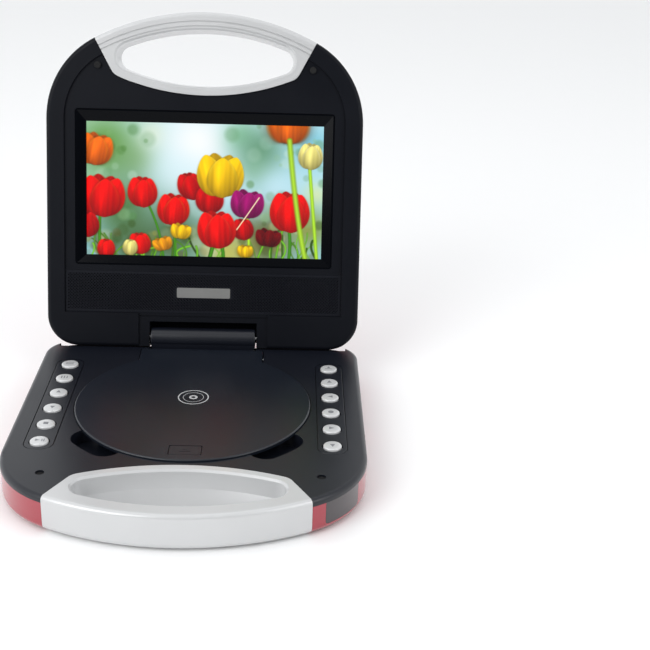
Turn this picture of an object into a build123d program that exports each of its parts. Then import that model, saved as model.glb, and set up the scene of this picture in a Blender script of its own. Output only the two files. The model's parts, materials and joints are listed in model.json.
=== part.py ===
from build123d import *

import math
import os

# Portable DVD player with a hinged screen and a carrying handle, standing open.
# Units are millimetres. +X is the user's right, -Y is the front, +Z is up.
# Most of the player is drawn on two faces, the deck of the base and the screen side of the lid.
# On both of them local x runs across, local y is the distance s from the hinge axis towards the
# handle, and local z is the depth into the shell.

# ---- driving dimensions -------------------------------------------------------------------

HALF_WIDTH = 102.5  # plan outline, the same for the base and the lid
REAR_EDGE = -6.0
REAR_RADIUS = 20.0
SIDE_END = 142.3
CORNER_RADIUS = 58.3
FRONT_CENTRE = 57.9

BASE_THICK = 21.0
LID_THICK = 18.0
RIM = 4.0  # depth of the black rim above the coloured shell
WALL = 2.2
EDGE_ROUND = 2.6
BASE_BOTTOM_ROUND = 4.0
LID_BACK_ROUND = 6.0
FOOT_HEIGHT = 1.5
SEAM = 0.1

OPEN_ANGLE = 105.0  # the lid stands this far open from closed
AXIS_RISE = 5.6  # hinge axis above the deck
AXIS_SETBACK = 5.1  # hinge axis behind the face of the lid
HINGE_Y = 72.81  # brings the middle of the open player's footprint to the origin
DECK_Z = FOOT_HEIGHT + BASE_THICK

DIVISION_RADIUS = 150.0  # line between the body and the silver handle
DIVISION_START = 159.0
DIVISION_HALF = 58.9
TIP_HALF = 71.2
BEND_RADIUS = 9.0

OPENING_REAR = 164.3  # hand opening through the handle
OPENING_REAR_RADIUS = 144.7
OPENING_FRONT = 200.3
OPENING_END_RADIUS = 9.0
OPENING_CHAMFER = 1.2
BASE_OPENING_DRAFT = 4.5  # how far the far half of the opening narrows
LID_OPENING_DRAFT = 1.2
HANDLE_WALL = 1.8
TUBE_START = 1.0  # the wall around the opening runs between the two face plates
HANDLE_GROOVES = (5.4, 8.4)  # grooves in the lid's handle, from its front edge
GROOVE_WIDTH = 0.9
GROOVE_DEPTH = 0.6

DISC_CENTRE = 85.2
DISC_LID_RADIUS = 70.8
DISC_LID_RISE = 1.2
DISC_LID_THICK = 2.2
DISC_LID_GAP = 0.5
LEDGE_DEPTH = 1.3
BOWL_RADIUS = 63.5
BOWL_DEPTH = 8.2
BOWL_WALL = 1.6
FINGER_RADIUS = 72.0  # finger wells beside the disc lid, on a circle about the disc
FINGER_WIDTH = 20.0
FINGER_START = 38.5
FINGER_SWEEP = 12.5

TAIL_HALF = 40.0
TAIL_REAR = 9.0
TAIL_POCKET_S = (7.2, 22.0)
TAIL_POCKET_DEPTH = 8.6
POCKET_MARGIN = 2.5  # solid left around a pocket
TAIL_AXIS_S = 14.5
TAIL_AXIS_DEPTH = 3.5
TAIL_PIN_RADIUS = 1.5
RUNNING_FIT = 0.05

TAB_HALF = 9.0
TAB_START = 139.6
TAB_END = 149.2

BUTTON_X = 83.0
BUTTON_FIRST = 33.95
BUTTON_PITCH = 20.33
BUTTON_COUNT = 6
BUTTON_RADIUS = 5.3
BUTTON_HOLE = 6.0
BUTTON_RISE = 1.2
STRIP_HALF = 8.3
STRIP_START = 25.6
STRIP_END = 143.9
STRIP_THICK = 1.0
STRIP_CORNER = 6.5
STRIP_GAP = 0.4

REAR_LEDGE_S = 4.5  # the deck steps down behind this line to clear the opened lid
REAR_LEDGE_HALF = 95.0
LEDGE_PLATE = 2.0
LEDGE_PLATE_HALF = REAR_LEDGE_HALF + WALL
BARREL_RADIUS = 6.5
BARREL_HALF = 34.5
SLOT_HALF = 35.4
SLOT_TOP = 11.0
PAD_HALF = 42.6  # lowered pad around the hinge
PAD_LINE = 15.0  # groove along the top of the pad
PAD_DROP = 1.2
HINGE_SHAFT_RADIUS = 1.75
HINGE_SHAFT_INNER = 16.0
HINGE_SHAFT_OUTER = 49.0

PANEL_INSET = 11.5  # border of the lid face around its lowered panel
PANEL_START = 16.5
PANEL_DROP = 1.4
BEZEL_HALF_X = 84.0
BEZEL_S = (48.2, 149.0)
LCD_HALF_X = 77.04
LCD_S = (54.46, 141.04)
BEZEL_SLOPE = 1.6
GRILLE_S = (17.0, 44.0)
GRILLE_HALF_X = 90.6
GRILLE_THICK = 1.2

# ---- derived geometry ---------------------------------------------------------------------

CORNER_CENTRE_X = HALF_WIDTH - CORNER_RADIUS
FRONT_RADIUS = CORNER_RADIUS + math.hypot(CORNER_CENTRE_X, SIDE_END - FRONT_CENTRE)
CORNER_SWEEP = math.degrees(math.atan2(SIDE_END - FRONT_CENTRE, CORNER_CENTRE_X))
FLOOR = BASE_THICK - WALL

BASE = Plane(origin=(0, HINGE_Y, DECK_Z), x_dir=(1, 0, 0), z_dir=(0, 0, -1))
AXIS_POINT = Vector(0, HINGE_Y, DECK_Z + AXIS_RISE)
OPEN = math.radians(OPEN_ANGLE)
LID_INWARD = Vector(0, math.sin(OPEN), math.cos(OPEN))
LID = Plane(origin=AXIS_POINT - LID_INWARD * AXIS_SETBACK, x_dir=(-1, 0, 0), z_dir=LID_INWARD)


def across(face, x, s=0.0, depth=0.0):
    """Plane square to the hinge axis, with local x along s and local y along the depth."""
    return Plane(origin=face.from_local_coords((x, s, depth)), x_dir=face.y_dir, z_dir=face.x_dir)


def along(face, x, s, depth):
    """Plane square to s, for rods and screws that run from the rear to the front."""
    return Plane(origin=face.from_local_coords((x, s, depth)), x_dir=face.x_dir, z_dir=face.y_dir)


def inward(face):
    """Axis that sorts faces by their depth into a shell."""
    return Axis(face.origin, face.z_dir)


# ---- plan outlines ------------------------------------------------------------------------


def plan(inset=0.0):
    """The plan of the player, pulled in by an inset."""
    rear_centre = (HALF_WIDTH - REAR_RADIUS, REAR_EDGE + REAR_RADIUS)
    side_x = HALF_WIDTH - inset
    with BuildSketch() as outline:
        with BuildLine():
            Line((0, REAR_EDGE + inset), (HALF_WIDTH - REAR_RADIUS, REAR_EDGE + inset))
            CenterArc(rear_centre, REAR_RADIUS - inset, -90, 90)
            Line((side_x, REAR_EDGE + REAR_RADIUS), (side_x, SIDE_END))
            CenterArc((CORNER_CENTRE_X, SIDE_END), CORNER_RADIUS - inset, 0, CORNER_SWEEP)
            CenterArc((0, FRONT_CENTRE), FRONT_RADIUS - inset, CORNER_SWEEP, 90 - CORNER_SWEEP)
            mirror(about=Plane.YZ)
        make_face()
    return outline.sketch


def handle_region(grow=0.0):
    """Everything in front of the line between the body and the handle."""
    bend_angle = math.degrees(math.asin(DIVISION_HALF / DIVISION_RADIUS))
    with BuildSketch() as region:
        with BuildLine():
            division = CenterArc(
                (0, DIVISION_START + DIVISION_RADIUS), DIVISION_RADIUS, -90, bend_angle
            )
            tip = Vector(TIP_HALF, FRONT_CENTRE + FRONT_RADIUS * math.sin(math.radians(CORNER_SWEEP)))
            bend = division @ 1
            beyond = bend + (tip - bend) * 2
            Line(bend, beyond)
            Line(beyond, (0, beyond.Y))
            mirror(about=Plane.YZ)
        make_face()
        bends = region.vertices().filter_by_position(Axis.Y, bend.Y - 1, bend.Y + 1)
        fillet(bends, BEND_RADIUS)
        if grow:
            offset(amount=grow)
    return region.sketch


def opening_profile(grow=0.0):
    """The hand opening: two long arcs with rounded ends."""
    with BuildSketch() as profile:
        with Locations((0, OPENING_REAR + OPENING_REAR_RADIUS)):
            Circle(OPENING_REAR_RADIUS + grow)
        with Locations((0, FRONT_CENTRE)):
            Circle(OPENING_FRONT - FRONT_CENTRE + grow, mode=Mode.INTERSECT)
        fillet(profile.vertices(), OPENING_END_RADIUS + grow)
    return profile.sketch


HANDLE_ZONE = handle_region()
HANDLE_ZONE_SEAM = handle_region(SEAM)
HANDLE_ZONE_WALL = handle_region(WALL)
HANDLE_ZONE_INNER = handle_region(-WALL)
OPENING = opening_profile()
OPENING_WALL = opening_profile(HANDLE_WALL)


# ---- shared building steps ----------------------------------------------------------------


def rounded_slab(face, start, end, radius, side):
    """A slab of the plan between two depths, rounded along its near (0) or far (-1) edge."""
    with BuildSketch(face.offset(start)) as profile:
        add(plan())
    block = extrude(profile.sketch, amount=end - start)
    rim = block.faces().sort_by(inward(face))[side]
    fillet(rim.edges(), radius)


def region_slab(face, depth, region, mode=Mode.SUBTRACT):
    """Cut, add or keep a ready-made region through a range of depth."""
    with BuildSketch(face.offset(depth[0])) as profile:
        add(region)
    extrude(profile.sketch, amount=depth[1] - depth[0], mode=mode)


def hollow(face, depth, inset, region):
    """Hollow a shell through a range of depth, leaving a wall beside a ready-made region."""
    with BuildSketch(face.offset(depth[0])) as profile:
        add(plan(inset))
        add(region, mode=Mode.SUBTRACT)
    extrude(profile.sketch, amount=depth[1] - depth[0], mode=Mode.SUBTRACT)


def slab(face, x, s, depth, mode=Mode.ADD, radius=0.0):
    """A rectangular block given by its ranges of x, s and depth."""
    with BuildSketch(face.offset(depth[0])) as profile:
        with Locations(((x[0] + x[1]) / 2, (s[0] + s[1]) / 2)):
            Rectangle(x[1] - x[0], s[1] - s[0])
        if radius:
            fillet(profile.vertices(), radius)
    extrude(profile.sketch, amount=depth[1] - depth[0], mode=mode)


def round_slab(face, places, radius, depth, mode=Mode.ADD):
    """A round block at each of a list of places."""
    with BuildSketch(face.offset(depth[0])) as profile:
        with Locations(places):
            Circle(radius)
    extrude(profile.sketch, amount=depth[1] - depth[0], mode=mode)


def both_sides(x, s):
    """The same place on the left and on the right."""
    return [(-x, s), (x, s)]


PIECES = []


def finish(builder, name):
    """Label a finished piece and keep it for writing."""
    builder.part.label = name
    PIECES.append(builder.part)


# ---- base: lower shell --------------------------------------------------------------------

SCREW_PLACES = both_sides(89.0, 8.0) + both_sides(96.2, 84.0) + both_sides(75.0, 157.0)
BOSS_RADIUS = 3.2
BOSS_TOP = 6.4
SCREW_HEAD_RADIUS = 2.5
SCREW_HEAD_DEPTH = 2.0
SCREW_SHANK_RADIUS = 1.3

JACK_DEPTH = 12.6
HEADPHONE_S = 36.0
AV_S = 52.0
POWER_JACK_S = 68.0
VOLUME_S = 100.0
SWITCH_S = 122.0
PLUG_RADIUS = 1.8
JACK_NOSE_RADIUS = 3.2
POWER_BORE_RADIUS = 2.8
POWER_NOSE_RADIUS = 4.4
POWER_PIN_RADIUS = 0.85
SIDE_CUT_X = (HALF_WIDTH - 2 * WALL, HALF_WIDTH + WALL)
VOLUME_SLOT_HALF = 6.2
VOLUME_SLOT_DEPTH = (11.6, 14.4)
SWITCH_SLOT_HALF = 6.0
SWITCH_SLOT_DEPTH = (11.2, 14.0)

WINDOW_START = 26.0  # infrared window, degrees along the front right corner
WINDOW_END = 54.0
WINDOW_DEPTH = (RIM, 17.4)
WINDOW_CORNER = 2.0


def side_cutter(s, depth, radius):
    """Round hole from outside through the right wall."""
    with BuildSketch(across(BASE, HALF_WIDTH - 2 * WALL, s, depth)) as profile:
        Circle(radius)
    extrude(profile.sketch, amount=3 * WALL, mode=Mode.SUBTRACT)


def corner_plate(inner, outer, clearance, mode):
    """A curved plate on the front right corner, with two rounded lower corners."""
    start = WINDOW_START + math.degrees(clearance / outer)
    end = WINDOW_END - math.degrees(clearance / outer)
    with BuildPart() as plate:
        with BuildSketch(BASE.offset(WINDOW_DEPTH[0])):
            with BuildLine():
                near = CenterArc((CORNER_CENTRE_X, SIDE_END), inner, start, end - start)
                far = CenterArc((CORNER_CENTRE_X, SIDE_END), outer, start, end - start)
                Line(near @ 0, far @ 0)
                Line(near @ 1, far @ 1)
            make_face()
        extrude(amount=WINDOW_DEPTH[1] - WINDOW_DEPTH[0] - clearance)
        lowest = plate.faces().sort_by(Axis.Z)[0]
        fillet(lowest.edges().filter_by(GeomType.LINE), WINDOW_CORNER - clearance)
    add(plate.part, mode=mode)


with BuildPart() as base_shell:
    rounded_slab(BASE, RIM, BASE_THICK, BASE_BOTTOM_ROUND, -1)
    region_slab(BASE, (RIM, BASE_THICK), HANDLE_ZONE_SEAM)
    hollow(BASE, (RIM, FLOOR), WALL, HANDLE_ZONE_WALL)
    round_slab(BASE, SCREW_PLACES, BOSS_RADIUS, (BOSS_TOP, FLOOR))
    round_slab(BASE, SCREW_PLACES, SCREW_SHANK_RADIUS, (BOSS_TOP, BASE_THICK), Mode.SUBTRACT)
    round_slab(
        BASE,
        SCREW_PLACES,
        SCREW_HEAD_RADIUS + SEAM,
        (BASE_THICK - SCREW_HEAD_DEPTH, BASE_THICK),
        Mode.SUBTRACT,
    )
    side_cutter(HEADPHONE_S, JACK_DEPTH, JACK_NOSE_RADIUS)
    side_cutter(AV_S, JACK_DEPTH, JACK_NOSE_RADIUS)
    side_cutter(POWER_JACK_S, JACK_DEPTH, POWER_NOSE_RADIUS)
    volume_slot = (VOLUME_S - VOLUME_SLOT_HALF, VOLUME_S + VOLUME_SLOT_HALF)
    slab(BASE, SIDE_CUT_X, volume_slot, VOLUME_SLOT_DEPTH, Mode.SUBTRACT)
    switch_slot = (SWITCH_S - SWITCH_SLOT_HALF, SWITCH_S + SWITCH_SLOT_HALF)
    slab(BASE, SIDE_CUT_X, switch_slot, SWITCH_SLOT_DEPTH, Mode.SUBTRACT)
    corner_plate(CORNER_RADIUS - 2 * WALL, CORNER_RADIUS + WALL, 0.0, Mode.SUBTRACT)
    # seat of the deck's lowered rear strip
    slab(
        BASE,
        (-LEDGE_PLATE_HALF - SEAM, LEDGE_PLATE_HALF + SEAM),
        (2 * REAR_EDGE, REAR_LEDGE_S + SEAM),
        (RIM, RIM + LEDGE_PLATE),
        Mode.SUBTRACT,
    )
finish(base_shell, "base_shell")


# ---- base: deck ---------------------------------------------------------------------------

DECK_THICK = 2.2
BUTTON_PLACES = [
    (side * BUTTON_X, BUTTON_FIRST + BUTTON_PITCH * number)
    for side in (-1, 1)
    for number in range(BUTTON_COUNT)
]
TURNTABLE_WELL_RADIUS = 17.5
SLED_SLOT_HALF = 11.0
SLED_SLOT_END = DISC_CENTRE + 56.0
CATCH_POCKET = ((-11.5, 11.5), (145.0, 153.6), (0.0, BOWL_DEPTH))
CATCH_BLOCK = ((-13.0, 13.0), (140.0, 155.0), (1.0, BOWL_DEPTH + BOWL_WALL))
BOWL_FLOOR = (BOWL_DEPTH - 1, BOWL_DEPTH + BOWL_WALL + 1)
PLUG_PLACES = both_sides(76.2, 169.5)
DECK_PLUG_RADIUS = 2.5
DECK_PLUG_DEPTH = (1.0, 1.6)


def finger_wells(grow=0.0):
    """The two finger wells, as slots along arcs about the disc."""
    with BuildSketch() as wells:
        for start in (FINGER_START, 180 - FINGER_START - FINGER_SWEEP):
            with BuildLine(mode=Mode.PRIVATE) as path:
                CenterArc((0, DISC_CENTRE), FINGER_RADIUS, start, FINGER_SWEEP)
            SlotArc(path.edges()[0], FINGER_WIDTH + 2 * grow)
    return wells.sketch


def strip_outline(grow=0.0):
    """The two long strips that hold the buttons."""
    middle = (STRIP_START + STRIP_END) / 2
    with BuildSketch() as strips:
        with Locations(both_sides(BUTTON_X, middle)):
            RectangleRounded(
                2 * (STRIP_HALF + grow), STRIP_END - STRIP_START + 2 * grow, STRIP_CORNER + grow
            )
    return strips.sketch


def disc_lid_outline(grow=0.0):
    """The round disc lid with the straight tail that carries its hinge."""
    rear = TAIL_REAR - grow
    with BuildSketch() as outline:
        with Locations((0, DISC_CENTRE)):
            Circle(DISC_LID_RADIUS + grow)
        with Locations((0, (rear + DISC_CENTRE) / 2)):
            Rectangle(2 * (TAIL_HALF + grow), DISC_CENTRE - rear)
    return outline.sketch


def rear_region(inset, half, end):
    """The part of the plan along the rear edge, up to a line across."""
    with BuildSketch() as region:
        add(plan(inset))
        with Locations((0, REAR_EDGE)):
            Rectangle(2 * half, 2 * (end - REAR_EDGE), mode=Mode.INTERSECT)
    return region.sketch


WELLS = finger_wells()
LEDGE = rear_region(0.0, LEDGE_PLATE_HALF, REAR_LEDGE_S)
LEDGE_BLOCK = rear_region(WALL, LEDGE_PLATE_HALF, REAR_LEDGE_S + WALL)

with BuildPart() as deck:
    rounded_slab(BASE, 0, RIM, EDGE_ROUND, 0)
    region_slab(BASE, (0, RIM), HANDLE_ZONE_SEAM)
    hollow(BASE, (DECK_THICK, RIM), WALL, HANDLE_ZONE_WALL)
    # blocks under the plate, later cut out to shells
    round_slab(BASE, [(0, DISC_CENTRE)], BOWL_RADIUS + BOWL_WALL, (1, BOWL_DEPTH + BOWL_WALL))
    region_slab(BASE, (1, BOWL_DEPTH + BOWL_WALL), finger_wells(BOWL_WALL), Mode.ADD)
    slab(BASE, *CATCH_BLOCK)
    slab(
        BASE,
        (-TAIL_HALF - POCKET_MARGIN, TAIL_HALF + POCKET_MARGIN),
        (TAIL_POCKET_S[0] - BOWL_WALL, TAIL_POCKET_S[1] + POCKET_MARGIN),
        (1, TAIL_POCKET_DEPTH + BOWL_WALL),
    )
    region_slab(BASE, (1, RIM + LEDGE_PLATE), LEDGE_BLOCK, Mode.ADD)
    # rear step and barrel seat
    slab(
        BASE,
        (-REAR_LEDGE_HALF, REAR_LEDGE_HALF),
        (2 * REAR_EDGE, REAR_LEDGE_S),
        (-1, RIM),
        Mode.SUBTRACT,
    )
    region_slab(BASE, (RIM, RIM + LEDGE_PLATE), LEDGE, Mode.ADD)
    slab(
        BASE,
        (-SLOT_HALF, SLOT_HALF),
        (2 * REAR_EDGE, TAIL_POCKET_S[0]),
        (-1, RIM),
        Mode.SUBTRACT,
    )
    # disc lid seat, bowl, finger wells and hinge pocket
    region_slab(BASE, (-1, LEDGE_DEPTH), disc_lid_outline(DISC_LID_GAP), Mode.SUBTRACT)
    round_slab(BASE, [(0, DISC_CENTRE)], BOWL_RADIUS, (0, BOWL_DEPTH), Mode.SUBTRACT)
    region_slab(BASE, (-1, BOWL_DEPTH), WELLS)
    slab(BASE, *CATCH_POCKET, Mode.SUBTRACT)
    slab(
        BASE,
        (-TAIL_HALF - DISC_LID_GAP, TAIL_HALF + DISC_LID_GAP),
        TAIL_POCKET_S,
        (-1, TAIL_POCKET_DEPTH),
        Mode.SUBTRACT,
    )
    # openings in the bowl floor for the turntable and the laser
    round_slab(BASE, [(0, DISC_CENTRE)], TURNTABLE_WELL_RADIUS, BOWL_FLOOR, Mode.SUBTRACT)
    sled_slot = (DISC_CENTRE, SLED_SLOT_END)
    slab(BASE, (-SLED_SLOT_HALF, SLED_SLOT_HALF), sled_slot, BOWL_FLOOR, Mode.SUBTRACT)
    # pins of the disc lid sit in the sides of the hinge pocket
    with BuildSketch(across(BASE, -TAIL_HALF - POCKET_MARGIN, TAIL_AXIS_S, TAIL_AXIS_DEPTH)):
        Circle(TAIL_PIN_RADIUS)
    extrude(amount=2 * (TAIL_HALF + POCKET_MARGIN), mode=Mode.SUBTRACT)
    # button strips, button holes and screw plugs
    region_slab(BASE, (-1, STRIP_THICK), strip_outline(STRIP_GAP))
    round_slab(BASE, BUTTON_PLACES, BUTTON_HOLE, (0, RIM), Mode.SUBTRACT)
    round_slab(BASE, PLUG_PLACES, DECK_PLUG_RADIUS, (-1, DECK_PLUG_DEPTH[1]), Mode.SUBTRACT)
finish(deck, "deck")

with BuildPart() as deck_plugs:
    round_slab(BASE, PLUG_PLACES, DECK_PLUG_RADIUS - SEAM, DECK_PLUG_DEPTH)
finish(deck_plugs, "deck_plugs")


# ---- silver handle, on the base and on the lid ----------------------------------------------


def front_groove(face, inset):
    """Cut a fine groove along the handle, parallel to the front edge."""
    with BuildSketch(face) as profile:
        with Locations((0, FRONT_CENTRE)):
            Circle(FRONT_RADIUS - inset)
            Circle(FRONT_RADIUS - inset - GROOVE_WIDTH, mode=Mode.SUBTRACT)
        add(HANDLE_ZONE, mode=Mode.INTERSECT)
    extrude(profile.sketch, amount=GROOVE_DEPTH, mode=Mode.SUBTRACT)


def handle_pair(face, thick, near_name, far_name, far_round, draft, grooves=()):
    """The two half shells of a handle: one at the face, one at the back."""
    middle = thick / 2 + 1
    with BuildPart() as near:
        rounded_slab(face, 0, RIM, EDGE_ROUND, 0)
        region_slab(face, (0, RIM), HANDLE_ZONE, Mode.INTERSECT)
        with BuildSketch(face.offset(DECK_THICK)) as inside:
            add(plan(WALL))
            add(HANDLE_ZONE_INNER, mode=Mode.INTERSECT)
        extrude(inside.sketch, amount=RIM - DECK_THICK, mode=Mode.SUBTRACT)
        region_slab(face, (TUBE_START, middle), OPENING_WALL, Mode.ADD)
        region_slab(face, (0, thick), OPENING)
        mouth = near.faces().sort_by(inward(face))[0].inner_wires()[0]
        chamfer(mouth.edges(), OPENING_CHAMFER)
        for inset in grooves:
            front_groove(face, inset)
    finish(near, near_name)

    with BuildPart() as far:
        rounded_slab(face, RIM, thick, far_round, -1)
        region_slab(face, (RIM, thick), HANDLE_ZONE, Mode.INTERSECT)
        with BuildSketch(face.offset(RIM)) as inside:
            add(plan(WALL))
            add(HANDLE_ZONE_INNER, mode=Mode.INTERSECT)
        extrude(inside.sketch, amount=thick - WALL - RIM, mode=Mode.SUBTRACT)
        region_slab(face, (middle, thick - TUBE_START), OPENING_WALL, Mode.ADD)
        with BuildSketch(face.offset(middle)) as mouth:
            add(OPENING)
        with BuildSketch(face.offset(thick)) as outlet:
            add(opening_profile(-draft))
        loft([mouth.sketch.face(), outlet.sketch.face()], ruled=True, mode=Mode.SUBTRACT)
    finish(far, far_name)


handle_pair(
    BASE,
    BASE_THICK,
    "base_handle_top",
    "base_handle_bottom",
    BASE_BOTTOM_ROUND,
    BASE_OPENING_DRAFT,
)
handle_pair(
    LID,
    LID_THICK,
    "lid_handle_front",
    "lid_handle_back",
    LID_BACK_ROUND,
    LID_OPENING_DRAFT,
    HANDLE_GROOVES,
)


# ---- disc lid and its catch ---------------------------------------------------------------

LUG_THICK = 3.0
LUG_X = 36.0
LUG_RADIUS = 3.4
PIN_START = 34.4
PIN_LENGTH = 8.1
TAIL_RIB_S = (10.0, 11.0)
TAIL_RIB_RISE = 0.3
DISC_LID_ROUND = 0.8
TAB_GAP = 0.4
PRONG_S = (146.4, 148.4)
PRONG_DEPTH = 5.6
DISC_LID_TOP = -DISC_LID_RISE
DISC_LID_UNDER = DISC_LID_THICK - DISC_LID_RISE

with BuildPart() as disc_lid:
    with BuildSketch(BASE.offset(DISC_LID_TOP)):
        add(disc_lid_outline())
    extrude(amount=DISC_LID_THICK)
    top = disc_lid.faces().sort_by(inward(BASE))[0]
    fillet(top.edges(), DISC_LID_ROUND)
    slab(
        BASE,
        (-TAIL_HALF + DISC_LID_ROUND, TAIL_HALF - DISC_LID_ROUND),
        TAIL_RIB_S,
        (DISC_LID_TOP - TAIL_RIB_RISE, DISC_LID_UNDER),
    )
    for side in (-1, 1):
        with BuildSketch(across(BASE, side * LUG_X - LUG_THICK / 2, TAIL_AXIS_S, TAIL_AXIS_DEPTH)):
            Circle(LUG_RADIUS)
            with Locations((0.0, -TAIL_AXIS_DEPTH / 2)):
                Rectangle(2 * LUG_RADIUS, TAIL_AXIS_DEPTH)
        extrude(amount=LUG_THICK)
    with BuildSketch(across(BASE, -LUG_X - LUG_THICK, TAIL_AXIS_S, TAIL_AXIS_DEPTH)):
        Circle(TAIL_PIN_RADIUS + RUNNING_FIT)
    extrude(amount=2 * (LUG_X + LUG_THICK), mode=Mode.SUBTRACT)
    slab(
        BASE,
        (-TAB_HALF - TAB_GAP, TAB_HALF + TAB_GAP),
        (TAB_START - TAB_GAP, TAB_END + TAB_GAP),
        (-DISC_LID_THICK, DISC_LID_THICK),
        Mode.SUBTRACT,
    )
finish(disc_lid, "disc_lid")

with BuildPart() as disc_lid_pins:
    for side in (-1, 1):
        start = PIN_START if side > 0 else -PIN_START - PIN_LENGTH
        with BuildSketch(across(BASE, start, TAIL_AXIS_S, TAIL_AXIS_DEPTH)):
            Circle(TAIL_PIN_RADIUS)
        extrude(amount=PIN_LENGTH)
finish(disc_lid_pins, "disc_lid_pins")

with BuildPart() as open_tab:
    tab_depth = (DISC_LID_TOP + SEAM, DISC_LID_UNDER)
    slab(BASE, (-TAB_HALF, TAB_HALF), (TAB_START, TAB_END), tab_depth, radius=1.0)
    slab(BASE, (-TAB_HALF / 3, TAB_HALF / 3), PRONG_S, (DISC_LID_UNDER, PRONG_DEPTH))
finish(open_tab, "open_tab")


# ---- disc drive ---------------------------------------------------------------------------

PLATTER_RADIUS = 15.0
PLATTER_TOP = 5.8
PLATTER_THICK = 1.8
HUB_RADIUS = 7.3
HUB_TOP = 2.4
SPINDLE_RADIUS = 1.0
SPINDLE_END = 12.0
MOTOR_RADIUS = 12.0
MOTOR_DEPTH = (8.9, 14.4)
CHASSIS_DEPTH = (14.4, 15.4)
CHASSIS_HALF = 31.0
CHASSIS_S = (DISC_CENTRE - 20, DISC_CENTRE + 62)
ROD_X = 24.0
ROD_DEPTH = 12.2
ROD_RADIUS = 1.5
ROD_S = (DISC_CENTRE + 12, DISC_CENTRE + 60)
SLED_HALF = 27.0
SLED_START = DISC_CENTRE + 14.4
SLED_LENGTH = 18.0
SLED_DEPTH = (9.9, 14.0)
SLED_HEAD_HALF = 7.5
SLED_HEAD_TOP = BOWL_DEPTH + 0.2
SLED_ROUND = 1.0
LENS_RADIUS = 2.6
LENS_OFFSET = 8.0
LENS_THICK = 1.0
ROD_BLOCK_HALF = 2.6
ROD_BLOCK_LENGTH = 2.4
SCREW_X = 16.0
LEAD_RADIUS = 1.5
LEAD_CHANNEL = LEAD_RADIUS + 0.3
LEAD_S = (DISC_CENTRE + 13, DISC_CENTRE + 57)
FEED_MOTOR_RADIUS = 2.1
FEED_MOTOR_LENGTH = 8.0
PAD_THICK = 0.4
BALL_POCKET = (2.4, 2.0, 1.4)
BALL_DEPTH = 1.2

with BuildPart() as turntable:
    with BuildSketch(BASE.offset(PLATTER_TOP)):
        with Locations((0, DISC_CENTRE)):
            Circle(PLATTER_RADIUS)
    extrude(amount=PLATTER_THICK)
    with BuildSketch(BASE.offset(PLATTER_TOP)):
        with Locations((0, DISC_CENTRE)):
            Circle(HUB_RADIUS)
    extrude(amount=HUB_TOP - PLATTER_TOP)
    crown = turntable.faces().sort_by(inward(BASE))[0]
    chamfer(crown.edges(), 0.9)
    round_slab(BASE, [(0, DISC_CENTRE)], SPINDLE_RADIUS, (PLATTER_TOP, SPINDLE_END))
    # pockets for the three balls that grip the disc
    with BuildSketch(BASE.offset(HUB_TOP + BALL_DEPTH)):
        with Locations((0, DISC_CENTRE)):
            with PolarLocations(HUB_RADIUS, 3, start_angle=90):
                Rectangle(BALL_POCKET[0], BALL_POCKET[1])
    extrude(amount=BALL_POCKET[2], mode=Mode.SUBTRACT)
finish(turntable, "turntable")

with BuildPart() as turntable_pad:
    with BuildSketch(BASE.offset(PLATTER_TOP - PAD_THICK)):
        with Locations((0, DISC_CENTRE)):
            Circle(PLATTER_RADIUS - PAD_THICK)
            Circle(PLATTER_RADIUS * 0.7, mode=Mode.SUBTRACT)
    extrude(amount=PAD_THICK)
finish(turntable_pad, "turntable_pad")

with BuildPart() as spindle_motor:
    round_slab(BASE, [(0, DISC_CENTRE)], MOTOR_RADIUS, MOTOR_DEPTH)
    rim = spindle_motor.faces().sort_by(inward(BASE))[0]
    fillet(rim.edges(), 0.8)
    round_slab(
        BASE,
        [(0, DISC_CENTRE)],
        SPINDLE_RADIUS + RUNNING_FIT,
        (MOTOR_DEPTH[0], SPINDLE_END + 0.3),
        Mode.SUBTRACT,
    )
finish(spindle_motor, "spindle_motor")

with BuildPart() as drive_chassis:
    slab(BASE, (-CHASSIS_HALF, CHASSIS_HALF), CHASSIS_S, CHASSIS_DEPTH, radius=3.0)
    # window under the sled
    window = (SLED_START + 4, CHASSIS_S[1] - 6)
    slab(BASE, (-13, 13), window, (CHASSIS_DEPTH[0] - 1, CHASSIS_DEPTH[1] + 1), Mode.SUBTRACT, 2.0)
    # blocks that hold the ends of the guide rods
    for side in (-1, 1):
        for s in ROD_S:
            slab(
                BASE,
                (side * ROD_X - ROD_BLOCK_HALF, side * ROD_X + ROD_BLOCK_HALF),
                (s - ROD_BLOCK_LENGTH / 2, s + ROD_BLOCK_LENGTH / 2),
                (ROD_DEPTH - ROD_BLOCK_LENGTH, CHASSIS_DEPTH[0]),
            )
        with BuildSketch(along(BASE, side * ROD_X, ROD_S[0] - ROD_BLOCK_LENGTH, ROD_DEPTH)):
            Circle(ROD_RADIUS)
        extrude(amount=ROD_S[1] - ROD_S[0] + 2 * ROD_BLOCK_LENGTH, mode=Mode.SUBTRACT)
finish(drive_chassis, "drive_chassis")

with BuildPart() as guide_rods:
    for side in (-1, 1):
        with BuildSketch(along(BASE, side * ROD_X, ROD_S[0] - ROD_BLOCK_LENGTH / 2, ROD_DEPTH)):
            Circle(ROD_RADIUS)
        extrude(amount=ROD_S[1] - ROD_S[0] + ROD_BLOCK_LENGTH)
finish(guide_rods, "guide_rods")

DAMPER_RADIUS = 3.0
DAMPER_PLACES = [
    (side * (CHASSIS_HALF - 5), s) for side in (-1, 1) for s in (CHASSIS_S[0] + 5, CHASSIS_S[1] - 5)
]

with BuildPart() as drive_dampers:
    round_slab(BASE, DAMPER_PLACES, DAMPER_RADIUS, (CHASSIS_DEPTH[1], FLOOR))
finish(drive_dampers, "drive_dampers")

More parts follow.
